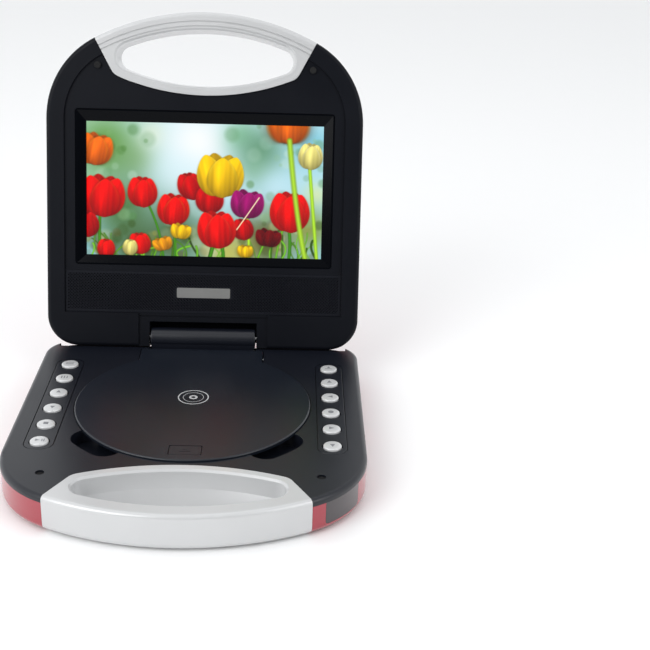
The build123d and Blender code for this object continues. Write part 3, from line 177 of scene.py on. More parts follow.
# ---- shader building -----------------------------------------------------------------------------

MIX_SHARE, MIX_FIRST, MIX_SECOND, MIX_COLOR = 0, 6, 7, 2  # sockets of a Mix node for colours
SLOW_SCALE = 28.0  # patches a few centimetres across
GRAIN_NOISE, SLOW_NOISE, METAL_NOISE = (3.0, 0.6), (3.0, 0.55), (4.0, 0.65)  # detail, roughness
FINE_SHARE = 0.35  # share of the grain in the colour, beside the patches
WORN = ((0.3, 0.92), (0.7, 1.1))  # where the patches' value gives which share of the roughness
METAL_GRAIN = 900.0
METAL_TINTS = (0.82, 1.12)
METAL_WORN = ((0.25, 0.8), (0.75, 1.3))
SCRATCH_DEPTH = 0.00002
TRACK_SCALE = 260.0
TRACK_EDGE = (0.42, 0.5)
TRACK_HEIGHT = 0.00003
MASK_ROUGH = 0.35


class Shader:
    """Short names for the few nodes that the materials are made of."""

    def __init__(self, tree):
        self.tree = tree

    def node(self, kind, **values):
        made = self.tree.nodes.new(kind)
        for name, value in values.items():
            socket = made.inputs[name.replace("_", " ")]
            if hasattr(value, "is_output"):
                self.tree.links.new(value, socket)
            else:
                socket.default_value = value
        return made

    def place(self):
        """Where a point is on its own piece, in metres."""
        return self.node("ShaderNodeTexCoord").outputs["Object"]

    def noise(self, scale, detail, roughness, vector=None):
        made = self.node(
            "ShaderNodeTexNoise",
            Vector=vector or self.place(),
            Scale=scale,
            Detail=detail,
            Roughness=roughness,
        )
        return made.outputs["Fac"]

    def math(self, operation, first, second=0.0):
        made = self.tree.nodes.new("ShaderNodeMath")
        made.operation = operation
        for socket, value in zip(made.inputs, (first, second)):
            if hasattr(value, "is_output"):
                self.tree.links.new(value, socket)
            else:
                socket.default_value = value
        return made.outputs[0]

    def ramp(self, value, stops):
        """A piecewise line through (input, output) stops, for numbers."""
        low, high = stops[0][0], stops[-1][0]
        made = self.tree.nodes.new("ShaderNodeValToRGB")
        share = self.math("MULTIPLY_ADD", value, 1 / (high - low))
        share.node.inputs[2].default_value = -low / (high - low)
        self.tree.links.new(share, made.inputs["Fac"])
        elements = made.color_ramp.elements
        while len(elements) > 1:
            elements.remove(elements[-1])
        for number, (position, level) in enumerate(stops):
            spot = (position - low) / (high - low)
            element = elements[0] if number == 0 else elements.new(spot)
            element.position = spot
            element.color = (level, level, level, 1.0)
        return made.outputs["Color"]

    def blend(self, share, first, second):
        """A colour between two colours."""
        made = self.tree.nodes.new("ShaderNodeMix")
        made.data_type = "RGBA"
        self.tree.links.new(share, made.inputs[MIX_SHARE])
        made.inputs[MIX_FIRST].default_value = (*first, 1.0)
        made.inputs[MIX_SECOND].default_value = (*second, 1.0)
        return made.outputs[MIX_COLOR]

    def bump(self, height, distance):
        made = self.node("ShaderNodeBump", Height=height, Distance=distance)
        return made.outputs["Normal"]


def tint(color, factor):
    return tuple(min(1.0, channel * factor) for channel in color)


def new_material(name):
    """A material, its node builder and its surface shader."""
    material = bpy.data.materials.new(name)
    material.use_nodes = True
    return material, Shader(material.node_tree), material.node_tree.nodes["Principled BSDF"]


def moulded(
    name,
    color,
    rough,
    grain=3500.0,
    depth=0.00002,
    spread=0.12,
    specular=0.5,
    metallic=0.0,
    coat=0.0,
    coat_rough=0.05,
):
    """Moulded or painted plastic: a fine grain, slow colour drift and handled patches."""
    material, shade, shader = new_material(name)
    fine = shade.noise(grain, *GRAIN_NOISE)
    slow = shade.noise(SLOW_SCALE, *SLOW_NOISE)
    fine_part = shade.math("MULTIPLY", fine, FINE_SHARE)
    slow_part = shade.math("MULTIPLY", slow, 1 - FINE_SHARE)
    drift = shade.math("ADD", fine_part, slow_part)
    mixed = shade.blend(drift, tint(color, 1 - spread), tint(color, 1 + spread))
    shade.tree.links.new(mixed, shader.inputs["Base Color"])
    worn = shade.ramp(slow, [(spot, rough * share) for spot, share in WORN])
    shade.tree.links.new(worn, shader.inputs["Roughness"])
    shade.tree.links.new(shade.bump(fine, depth), shader.inputs["Normal"])
    shader.inputs["Specular IOR Level"].default_value = specular
    shader.inputs["Metallic"].default_value = metallic
    shader.inputs["Coat Weight"].default_value = coat
    shader.inputs["Coat Roughness"].default_value = coat_rough
    return material


def metal(name, color, rough, stretch=(1.0, 1.0, 1.0)):
    """Drawn or turned metal, with fine scratches along its shape."""
    material, shade, shader = new_material(name)
    mapped = shade.node("ShaderNodeMapping", Vector=shade.place(), Scale=stretch).outputs[0]
    lines = shade.noise(METAL_GRAIN, *METAL_NOISE, mapped)
    mixed = shade.blend(lines, *[tint(color, factor) for factor in METAL_TINTS])
    shade.tree.links.new(mixed, shader.inputs["Base Color"])
    worn = shade.ramp(lines, [(spot, rough * share) for spot, share in METAL_WORN])
    shade.tree.links.new(worn, shader.inputs["Roughness"])
    shade.tree.links.new(shade.bump(lines, SCRATCH_DEPTH), shader.inputs["Normal"])
    shader.inputs["Metallic"].default_value = 1.0
    return material


def circuit(name, base, track):
    """Solder mask, a shade lighter over the copper tracks."""
    material, shade, shader = new_material(name)
    cells = shade.node("ShaderNodeTexVoronoi", Vector=shade.place(), Scale=TRACK_SCALE)
    cells.distance = "CHEBYCHEV"
    cells.feature = "F1"
    low, high = TRACK_EDGE
    tracks = shade.ramp(cells.outputs["Distance"], [(low, 0.0), (high, 1.0)])
    mixed = shade.blend(tracks, base, track)
    shade.tree.links.new(mixed, shader.inputs["Base Color"])
    shade.tree.links.new(shade.bump(tracks, TRACK_HEIGHT), shader.inputs["Normal"])
    shader.inputs["Roughness"].default_value = MASK_ROUGH
    return material


# ---- materials -----------------------------------------------------------------------------------

MATERIALS = {}


def make_materials():
    """One material for each slot of the record, and a few for the pieces made here."""
    add = MATERIALS.__setitem__
    add("red_shell", moulded("red_paint", (0.36, 0.024, 0.042), 0.32, grain=9000.0, depth=0.000004,
                             spread=0.1, metallic=0.35, coat=1.0, coat_rough=0.04))
    add("black_deck", moulded("black_texture", (0.0065, 0.008, 0.0135), 0.33, grain=4200.0,
                              depth=0.000016, spread=0.16))
    # painted shade: the lid's copy of the deck's black texture, darker and less reflective, standing in for the
    # shade on the lid's face
    add("black_lid", moulded("shaded_black_texture_lid", (0.0048, 0.0056, 0.0086), 0.42, grain=4200.0,
                             depth=0.000016, spread=0.16, specular=0.12))
    add("matt_black", moulded("matt_black", (0.004, 0.0045, 0.006), 0.95, grain=2500.0,
                              depth=0.00003, spread=0.2, specular=0.02))
    add("disc_black", moulded("black_disc_lid", (0.0085, 0.0115, 0.0185), 0.3, grain=4200.0,
                              depth=0.000012, spread=0.14))
    add("silver_handle", moulded("silver_paint", (0.585, 0.59, 0.595), 0.3, grain=12000.0,
                                 depth=0.000004, spread=0.06, metallic=0.15, coat=0.3,
                                 coat_rough=0.12))
    add("button_silver", moulded("button_paint", (0.64, 0.645, 0.65), 0.28, grain=12000.0,
                                 depth=0.000004, spread=0.06, metallic=0.2, coat=0.25,
                                 coat_rough=0.15))
    add("button_print", moulded("button_ink", (0.2, 0.205, 0.22), 0.5, grain=9000.0,
                                depth=0.000004))
    add("light_print", moulded("light_ink", (0.5, 0.51, 0.52), 0.45, grain=9000.0,
                               depth=0.000004))
    add("black_rubber", moulded("rubber", (0.006, 0.006, 0.0065), 0.75, grain=2500.0,
                                depth=0.00004, spread=0.2, specular=0.3))
    add("steel", metal("steel", (0.56, 0.57, 0.58), 0.25, (1.0, 0.06, 1.0)))
    add("screw_steel", metal("black_steel", (0.09, 0.09, 0.1), 0.38))
    add("battery_wrap", moulded("shrink_film", (0.05, 0.12, 0.28), 0.22, grain=600.0,
                                depth=0.00006, coat=0.6, coat_rough=0.15))
    add("circuit_board", circuit("solder_mask", (0.008, 0.10, 0.035), (0.02, 0.19, 0.07)))
    add("jack_plastic", moulded("jack_plastic", (0.014, 0.014, 0.016), 0.45))
    add("smoked_window", moulded("smoked_plastic", (0.034, 0.024, 0.028), 0.14, grain=200.0,
                                 depth=0.000002, spread=0.1, specular=0.6, coat=0.6,
                                 coat_rough=0.04))
    add("mechanism_plastic", moulded("mechanism_plastic", (0.03, 0.031, 0.034), 0.5,
                                     grain=2500.0))
    add("lens_glass", moulded("lens_coating", (0.12, 0.16, 0.42), 0.04, grain=300.0,
                              depth=0.000001, specular=0.8, coat=1.0, coat_rough=0.01))
    add("gloss_bezel", moulded("piano_black", (0.0018, 0.0022, 0.0034), 0.16, grain=350.0,
                               depth=0.0000015, spread=0.15, specular=0.07))
    add("screen", moulded("display_glass", (0.012, 0.014, 0.018), 0.1, grain=300.0,
                          depth=0.000001))
    add("aluminium_tray", metal("folded_tray", (0.6, 0.6, 0.62), 0.35, (0.08, 1.0, 1.0)))
    add("speaker_grille", moulded("grille_black", (0.0065, 0.0075, 0.0115), 0.4, grain=5200.0,
                                  depth=0.00001, spread=0.15, specular=0.16))
    add("speaker_cone", moulded("paper_cone", (0.03, 0.03, 0.032), 0.85, grain=1400.0,
                                depth=0.00008, spread=0.3))
    add("name_plate", moulded("plate_silver", (0.34, 0.34, 0.33), 0.3, grain=12000.0,
                              depth=0.000004, spread=0.06, metallic=0.6))


class Zone:
    """The part of a face near the hinge, across to a half width, along s and through a depth."""

    def __init__(self, face, half, along, depth):
        self.face, self.half, self.along, self.depth = face, half, along, depth

    def holds(self, point):
        offset = (point - self.face.origin) / MM
        x, s = offset.dot(self.face.across), offset.dot(self.face.along)
        depth = offset.dot(self.face.inward)
        return abs(x) < self.half and s < self.along and self.depth[0] < depth < self.depth[1]


# gaps around the hinge, with painted shade: their faces get matt black in place of their own finish, so that they
# stay dark
PAINTED_SHADE_ZONES = {
    "lid_cover": [Zone(LID, half=35.6, along=11.2, depth=(-1.0, 16.0))],
    "deck": [
        Zone(BASE, half=97.3, along=4.6, depth=(0.4, 6.1)),
        Zone(BASE, half=35.5, along=7.3, depth=(0.4, 4.1)),
    ],
}
# the lid frame takes the darker copy of the black texture, as painted shade
FINISHES = {"lid_frame": "black_lid", "disc_lid": "disc_black", "open_tab": "disc_black"}


def paint_nodes():
    """Give every CAD node its material: its slot's in the record, or a finish of its own."""
    for part in frame["record"]["subparts"]:
        node = NODES[part["node"]]
        finish = FINISHES.get(part["node"], part["material_slot"])
        node.data.materials.clear()
        node.data.materials.append(MATERIALS[finish])
    # painted shade: matt black on the faces in the gaps around the hinge
    for name, zones in PAINTED_SHADE_ZONES.items():
        paint_shade(NODES[name], zones)


def paint_shade(node, zones):
    """Painted shade: matt black on the faces of a node whose middle lies in a zone."""
    node.data.materials.append(MATERIALS["matt_black"])
    for polygon in node.data.polygons:
        centre = node.matrix_world @ polygon.center
        if any(zone.holds(centre) for zone in zones):
            polygon.material_index = 1


# ---- mesh building -------------------------------------------------------------------------------

SHARP_ANGLE = 35.0  # degrees between two faces, from which their edge stays sharp


def new_piece(name, mesh, body, finishes):
    """A piece that rides a body, with its finishes in order."""
    piece = bpy.data.objects.new(name, mesh)
    bpy.context.scene.collection.objects.link(piece)
    for finish in finishes:
        mesh.materials.append(MATERIALS[finish])
    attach(piece, body)
    return piece


def smooth(mesh):
    """Smooth shading that keeps the sharp edges."""
    for polygon in mesh.polygons:
        polygon.use_smooth = True
    bm = bmesh.new()
    bm.from_mesh(mesh)
    limit = math.radians(SHARP_ANGLE)
    for edge in bm.edges:
        edge.smooth = len(edge.link_faces) == 2 and edge.calc_face_angle(0.0) < limit
    bm.to_mesh(mesh)
    bm.free()


def ring_points(radius, count, centre=(0.0, 0.0)):
    x, s = centre
    angles = [2 * math.pi / count * i for i in range(count)]
    return [(x + radius * math.cos(a), s + radius * math.sin(a)) for a in angles]


def lathe(face, centre, profile, count):
    """A turned shape: profile is a list of (radius, depth), closed at both ends."""
    bm = bmesh.new()
    rings = []
    for radius, depth in profile:
        points = ring_points(radius, count, centre)
        rings.append([bm.verts.new(face.at(x, s, depth)) for x, s in points])
    for inner, outer in zip(rings, rings[1:]):
        for i in range(count):
            j = (i + 1) % count
            bm.faces.new((inner[i], inner[j], outer[j], outer[i]))
    bm.faces.new(rings[0])
    bm.faces.new(rings[-1][::-1])
    return bm


def plate(bm, face, outline, depth, thick, material=0, holes=()):
    """Add a thin closed plate with an outline and holes, from one depth inwards."""
    loops = [outline, *holes]
    levels = []
    for level in (depth, depth + thick):
        levels.append([[bm.verts.new(face.at(x, s, level)) for x, s in loop] for loop in loops])
    made = []
    for level in levels:
        edges = []
        for loop in level:
            for i, vertex in enumerate(loop):
                edges.append(bm.edges.new((vertex, loop[(i + 1) % len(loop)])))
        filled = bmesh.ops.triangle_fill(bm, use_beauty=True, use_dissolve=False, edges=edges)
        made += [item for item in filled["geom"] if isinstance(item, bmesh.types.BMFace)]
    for near, far in zip(*levels):
        for i in range(len(near)):
            j = (i + 1) % len(near)
            made.append(bm.faces.new((near[i], near[j], far[j], far[i])))
    for item in made:
        item.material_index = material


def to_mesh(bm, name):
    """The finished mesh, with its faces turned outwards."""
    bmesh.ops.recalc_face_normals(bm, faces=bm.faces)
    mesh = bpy.data.meshes.new(name)
    bm.to_mesh(mesh)
    bm.free()
    return mesh


# ---- buttons -------------------------------------------------------------------------------------

# (radius, depth) from under the flange to the domed top
BUTTON_PROFILE = [
    (6.4, 3.8), (6.4, 3.0), (5.3, 3.0), (5.3, -0.35), (5.22, -0.62), (5.0, -0.84), (4.7, -0.98),
    (4.3, -1.05), (3.4, -1.12), (2.2, -1.17), (0.9, -1.195),
]
BUTTON_SIDES = 48
ICON_DEPTH = -1.2
ICON_THICK = 0.12
ICON_SCALE = 1.3


def bar(x, s, half_width, half_height):
    """The corners of a rectangle about (x, s)."""
    left, right, low, high = x - half_width, x + half_width, s - half_height, s + half_height
    return [(left, low), (right, low), (right, high), (left, high)]


WEDGE_CORNERS = (0, 130, 230)  # the point and the two rear corners, in degrees from its direction


def wedge(x, s, size, turn):
    """A triangle pointing along a turn in degrees, 0 to the right and 90 to the front."""
    angles = [math.radians(turn + offset) for offset in WEDGE_CORNERS]
    return [(x + size * math.cos(a), s + size * math.sin(a)) for a in angles]


ICONS = {
    "button_left_1": [bar(0, -1.0, 1.9, 0.22), bar(0, 0, 1.9, 0.22), bar(0, 1.0, 1.9, 0.22)],
    "button_left_2": [bar(-1.3, 0, 0.25, 1.2), bar(0, 0, 0.25, 1.2), bar(1.3, 0, 0.25, 1.2)],
    "button_left_3": [wedge(0, 0, 1.5, -90)],
    "button_left_4": [wedge(0, 0, 1.5, 90)],
    "button_left_5": [bar(0, 0, 1.1, 1.1)],
    "button_left_6": [wedge(-0.9, 0, 1.3, 0), bar(1.2, 0, 0.25, 1.1), bar(2.1, 0, 0.25, 1.1)],
    "button_right_1": [bar(0, 0.9, 1.9, 0.25), wedge(0, -0.6, 1.2, -90)],
    "button_right_2": [wedge(0, -0.2, 1.5, -90)],
    "button_right_3": [wedge(0.2, 0, 1.5, 180)],
    "button_right_4": [ring_points(1.3, 20)],
    "button_right_5": [wedge(-0.2, 0, 1.5, 0)],
    "button_right_6": [wedge(0, 0.2, 1.5, 90)],
}


def make_buttons():
    """Domed caps with a raised symbol, in place of the plain ones."""
    for side, column in ((-1, "left"), (1, "right")):
        for number in range(BUTTON_COUNT):
            node = f"button_{column}_{number + 1}"
            centre = (side * BUTTON_X, BUTTON_FIRST + BUTTON_PITCH * number)
            bm = lathe(BASE, centre, BUTTON_PROFILE, BUTTON_SIDES)
            for shape in ICONS[node]:
                moved = [(centre[0] + ICON_SCALE * x, centre[1] + ICON_SCALE * s) for x, s in shape]
                plate(bm, BASE, moved, ICON_DEPTH, ICON_THICK, material=1)
            mesh = to_mesh(bm, node + "_cap")
            smooth(mesh)
            finishes = ["button_silver", "button_print"]
            piece = new_piece(node + "_cap", mesh, node, finishes)
            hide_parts(node)


# ---- speaker grille ------------------------------------------------------------------------------

GRILLE_PITCH = 2.0
GRILLE_HOLE = 0.52
GRILLE_EDGE = 1.2
GRILLE_BACK = GRILLE_DEPTH + GRILLE_THICK
PLATE_HALF_X = 18.6  # no holes behind the name plate
PLATE_S = (26.4, 34.6)


def make_grille():
    """A moulded grille: round holes in a diagonal pattern, right through the strip."""
    bm = bmesh.new()
    half = GRILLE_PITCH / 2
    columns = int((2 * GRILLE_HALF_X - 2 * GRILLE_EDGE) // half)
    rows = int((GRILLE_S[1] - GRILLE_S[0] - 2 * GRILLE_EDGE) // half)
    left = -columns * half / 2
    low = (GRILLE_S[0] + GRILLE_S[1]) / 2 - rows * half / 2
    levels = (GRILLE_DEPTH, GRILLE_BACK)
    grid = {}

    def corner(i, j, level):
        if (i, j, level) not in grid:
            place = LID.at(left + i * half, low + j * half, levels[level])
            grid[i, j, level] = bm.verts.new(place)
        return grid[i, j, level]

    for i in range(columns):
        for j in range(rows):
            x, s = left + (i + 0.5) * half, low + (j + 0.5) * half
            cells = [
                [corner(i, j, n), corner(i + 1, j, n), corner(i + 1, j + 1, n), corner(i, j + 1, n)]
                for n in range(2)
            ]
            covered = abs(x) < PLATE_HALF_X and PLATE_S[0] < s < PLATE_S[1]
            if (i + j) % 2 or covered:
                bm.faces.new(cells[0])
                bm.faces.new(cells[1][::-1])
            else:
                pierce(bm, x, s, cells, levels)
    border(bm, corner, columns, rows, levels)
    mesh = to_mesh(bm, "perforated_grille")
    piece = new_piece("perforated_grille", mesh, "lid", ["speaker_grille"])
    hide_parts("speaker_grille")


def pierce(bm, x, s, cells, levels):
    """One square cell of the grille with an eight-sided hole through it."""
    octagon = [math.radians(45 * k - 135) for k in range(8)]
    rims = [
        [
            bm.verts.new(LID.at(x + GRILLE_HOLE * math.cos(a), s + GRILLE_HOLE * math.sin(a), depth))
            for a in octagon
        ]
        for depth in levels
    ]
    for corners, rim in zip(cells, rims):
        for k in range(4):
            ahead = (k + 1) % 4
            middle, after = rim[2 * k + 1], rim[(2 * k + 2) % 8]
            bm.faces.new((corners[k], corners[ahead], middle))
            bm.faces.new((corners[k], middle, rim[2 * k]))
            bm.faces.new((corners[ahead], after, middle))
    for k in range(8):
        n = (k + 1) % 8
        bm.faces.new((rims[0][k], rims[0][n], rims[1][n], rims[1][k]))


def border(bm, corner, columns, rows, levels):
    """The solid edge of the grille, round the cells."""
    outer = bar(0, sum(GRILLE_S) / 2, GRILLE_HALF_X, (GRILLE_S[1] - GRILLE_S[0]) / 2)
    # first cell corner, step along the side and number of steps, for each side
    sides = [
        (0, 0, 1, 0, columns),
        (columns, 0, 0, 1, rows),
        (columns, rows, -1, 0, columns),
        (0, rows, 0, -1, rows),
    ]
    rims = []
    for level, depth in enumerate(levels):
        edge = [bm.verts.new(LID.at(x, s, depth)) for x, s in outer]
        rims.append(edge)
        for side, (i, j, di, dj, count) in enumerate(sides):
            inner = [corner(i + di * k, j + dj * k, level) for k in range(count + 1)]
            middle = count // 2
            start, end = edge[side], edge[(side + 1) % 4]
            for k in range(count):
                bm.faces.new((inner[k], inner[k + 1], start if k < middle else end))
            bm.faces.new((start, end, inner[middle]))
    for side in range(4):
        n = (side + 1) % 4
        bm.faces.new((rims[0][side], rims[0][n], rims[1][n], rims[1][side]))


# ---- picture on the screen -----------------------------------------------------------------------

PICTURE_COLUMNS = 384
PICTURE_ROWS = 216
PICTURE_GAP = 0.04
PICTURE_GAMMA = 2.2
PICTURE_LIGHT = 1.0
PICTURE_GLASS = (0.01, 0.01, 0.012, 1.0)
PICTURE_ROUGH = 0.12
FIELD_WIDTH, FIELD_HEIGHT = 16, 9  # the picture's own units
SEED = 5
GREEN = (0.20, 0.42, 0.08)
PALE_GREEN = (0.52, 0.68, 0.16)
RED, SCARLET, ORANGE = (0.93, 0.06, 0.03), (0.80, 0.04, 0.05), (0.96, 0.42, 0.08)
YELLOW, GOLD, CREAM = (0.99, 0.78, 0.05), (0.95, 0.60, 0.08), (0.93, 0.88, 0.50)
PURPLE, WINE, LIME = (0.60, 0.07, 0.40), (0.42, 0.03, 0.05), (0.93, 0.90, 0.55)

# light and leaves out of focus: x, y, radius, colour, strength
GLOWS = (
    (1.2, 7.4, 2.4, (0.36, 0.58, 0.22), 0.9),
    (3.4, 6.6, 1.5, (0.44, 0.62, 0.36), 0.7),
    (4.4, 8.2, 1.0, (0.86, 0.92, 0.80), 0.7),
    (7.4, 7.6, 2.4, (1.0, 1.0, 1.0), 1.0),
    (6.2, 5.2, 2.2, (0.88, 0.97, 1.0), 0.8),
    (10.4, 8.3, 1.1, (0.50, 0.76, 0.58), 0.7),
    (11.8, 7.3, 1.7, (0.36, 0.56, 0.42), 0.85),
    (11.3, 5.9, 1.2, (0.48, 0.68, 0.52), 0.6),
    (12.9, 4.7, 1.4, (0.80, 0.94, 1.0), 0.7),
    (15.2, 7.8, 1.5, (0.42, 0.74, 0.82), 0.7),
    (15.6, 4.4, 0.8, (0.86, 0.93, 0.70), 0.8),
    (2.4, 3.0, 2.2, (0.26, 0.42, 0.18), 0.8),
    (6.0, 1.4, 2.2, (0.26, 0.38, 0.20), 0.85),
    (3.4, 0.4, 1.8, (0.22, 0.32, 0.12), 0.8),
    (9.8, 4.6, 1.2, (0.84, 0.95, 1.0), 0.6),
    (12.2, 1.2, 2.0, (0.36, 0.36, 0.16), 0.95),
    (15.2, 2.0, 1.4, (0.52, 0.58, 0.24), 0.85),
    (9.6, 0.3, 1.6, (0.78, 0.74, 0.30), 0.8),
    (0.4, 4.4, 1.2, (0.62, 0.78, 0.52), 0.6),
)
# stems: start, bend, end, width, colour
STEMS = (
    ((0.9, 0.0), (0.8, 1.5), (0.9, 2.8), 0.20, GREEN),
    ((5.2, 0.0), (5.0, 1.8), (4.2, 3.4), 0.15, GREEN),
    ((6.0, 0.0), (6.0, 1.2), (5.9, 2.2), 0.16, GREEN),
    ((8.4, 0.0), (8.5, 0.4), (8.6, 0.8), 0.26, GREEN),
    ((9.3, 0.0), (9.3, 0.5), (9.1, 0.9), 0.24, GREEN),
    ((11.0, 0.0), (11.1, 1.3), (10.9, 2.7), 0.20, PALE_GREEN),
    ((13.8, 0.0), (13.9, 0.9), (13.8, 1.8), 0.22, GREEN),
    ((15.7, 0.0), (15.4, 3.0), (15.1, 6.2), 0.24, PALE_GREEN),
)
# flowers: x, y, height, colour, edge colour, lean, opening, softness
FLOWERS = (
    (0.4, 6.1, 2.2, ORANGE, GOLD, 12, 20, 0.14),
    (13.6, 7.8, 2.6, ORANGE, GOLD, 0, 22, 0.35),
    (1.0, 2.6, 2.9, RED, ORANGE, 4, 18, 0.08),
    (0.1, 1.2, 1.8, SCARLET, RED, -10, 12, 0.10),
    (3.8, 3.3, 2.1, RED, ORANGE, -2, 12, 0.07),
    (5.8, 2.1, 2.2, RED, GOLD, 4, 15, 0.07),
    (7.3, 3.9, 1.9, SCARLET, ORANGE, -18, 10, 0.07),
    (8.3, 3.0, 1.8, SCARLET, RED, 2, 20, 0.09),
    (10.7, 1.2, 1.5, SCARLET, WINE, -6, 12, 0.09),
    (9.0, 4.1, 3.0, YELLOW, (1.0, 0.94, 0.40), 2, 20, 0.05),
    (10.8, 2.7, 2.0, PURPLE, (0.84, 0.28, 0.66), 6, 26, 0.05),
    (12.3, 0.8, 1.3, WINE, SCARLET, 8, 42, 0.07),
    (8.9, 0.6, 2.6, RED, (1.0, 0.45, 0.32), -3, 16, 0.05),
    (13.8, 1.8, 2.8, RED, (0.98, 0.36, 0.12), 0, 13, 0.05),
    (15.1, 6.1, 1.8, CREAM, (1.0, 1.0, 0.90), 3, 10, 0.06),
    (1.3, -0.2, 1.3, RED, ORANGE, 0, 10, 0.10),
    (3.7, 0.1, 1.5, RED, ORANGE, -8, 14, 0.12),
    (2.9, 0.0, 1.1, CREAM, LIME, 4, 9, 0.10),
    (6.3, 1.2, 1.1, YELLOW, GOLD, 10, 36, 0.10),
    (5.3, 0.4, 1.0, GOLD, YELLOW, -20, 40, 0.10),
    (10.8, 0.0, 0.9, YELLOW, GOLD, 0, 30, 0.14),
)
# stalks in front of the flowers: start, bend, end, width, colour, blur
FRONT_STALKS = (
    ((14.9, 0.0), (14.2, 3.0), (13.7, 8.0), 0.36, (0.50, 0.64, 0.16), 0.14),
    ((10.2, 1.9), (10.9, 2.9), (11.7, 4.1), 0.08, (0.90, 0.78, 0.60), 0.06),
)
LEAF_COUNT = 46
LEAF_COLOR = (0.30, 0.50, 0.12)
STEM_BLUR = 0.06
SPOT_COUNT = 170
SPOT_BRIGHT_AREA = (4.6, 9.6, 3.5)  # left, right and bottom of the sky without spots
SPOT_GROUND = 2.4  # spots below this height take the earthy colours
LEAFY = ((0.30, 0.50, 0.22), (0.56, 0.74, 0.52), (0.80, 0.92, 0.86), (0.42, 0.62, 0.44))
EARTHY = ((0.20, 0.30, 0.08), (0.62, 0.60, 0.28), (0.86, 0.84, 0.66), (0.38, 0.34, 0.16))
SKY_BASE = (0.60, 0.82, 0.88)
SKY_RISE = (0.02, 0.012, 0.01)  # how much lighter it gets with each unit of height
# tulip petals, back to front: turn, height, width, shift to the side, shift up, is it behind
PETALS = (
    (-0.5, 1.0, 0.66, 0.0, 0.0, True),
    (0.6, 0.98, 0.66, 0.0, 0.0, True),
    (-0.8, 0.95, 0.62, -0.1, 0.02, False),
    (0.8, 0.92, 0.62, 0.1, 0.02, False),
    (0.0, 0.9, 0.7, 0.04, -0.02, False),
)
BEHIND = 0.7  # brightness of the petals behind
PETAL_SWELL = (0.85, 0.62)  # exponents of the outline: where it is widest, and how blunt it is
PETAL_SHADOW = (0.22, 0.3)  # strength, and share of the petal's own colour
PETAL_SHADOW_REACH = (0.8, 2.4)  # how far out and how soft, in blurs
PETAL_VEINS = (8, 24)  # slowest and fastest wave across the petal
PETAL_RIDGE = (-0.25, 0.3)  # place and width of the lit middle, in half widths
# light on a petal: at the base, gained up to the tip, lost at the sides, on the ridge, in the veins
PETAL_LIGHT = (0.68, 0.42, 0.14, 0.24, 0.02)
PETAL_LIGHT_MOST = 1.5
PETAL_RIM = (0.84, 0.3, 1.5, 0.55)  # start across, softness, exponent up the petal, strength
STROKE_STEPS = 14
STROKE_SHINE = 0.45  # extra light along the middle of a stem
SPOT_SOFT = 0.6  # share of a spot's radius that is blurred
SPOT_CROWD = 1.3  # exponent that gathers the spots near the ground
SPOT_RADIUS = (0.12, 0.5)
SPOT_STRENGTH = (0.15, 0.5)
LEAF_HEIGHT = (0.5, 2.0)
LEAF_LEAN = 0.8
LEAF_TONE = (0.45, 1.25)
LEAF_WIDTH = (0.05, 0.16)
LEAF_ROOT = -0.1
LEAF_BEND = 0.6  # share of its height where a leaf bends


def soft(value, width):
    """A soft step from 0 to 1 about zero."""
    return np.clip(value / width + 0.5, 0.0, 1.0)


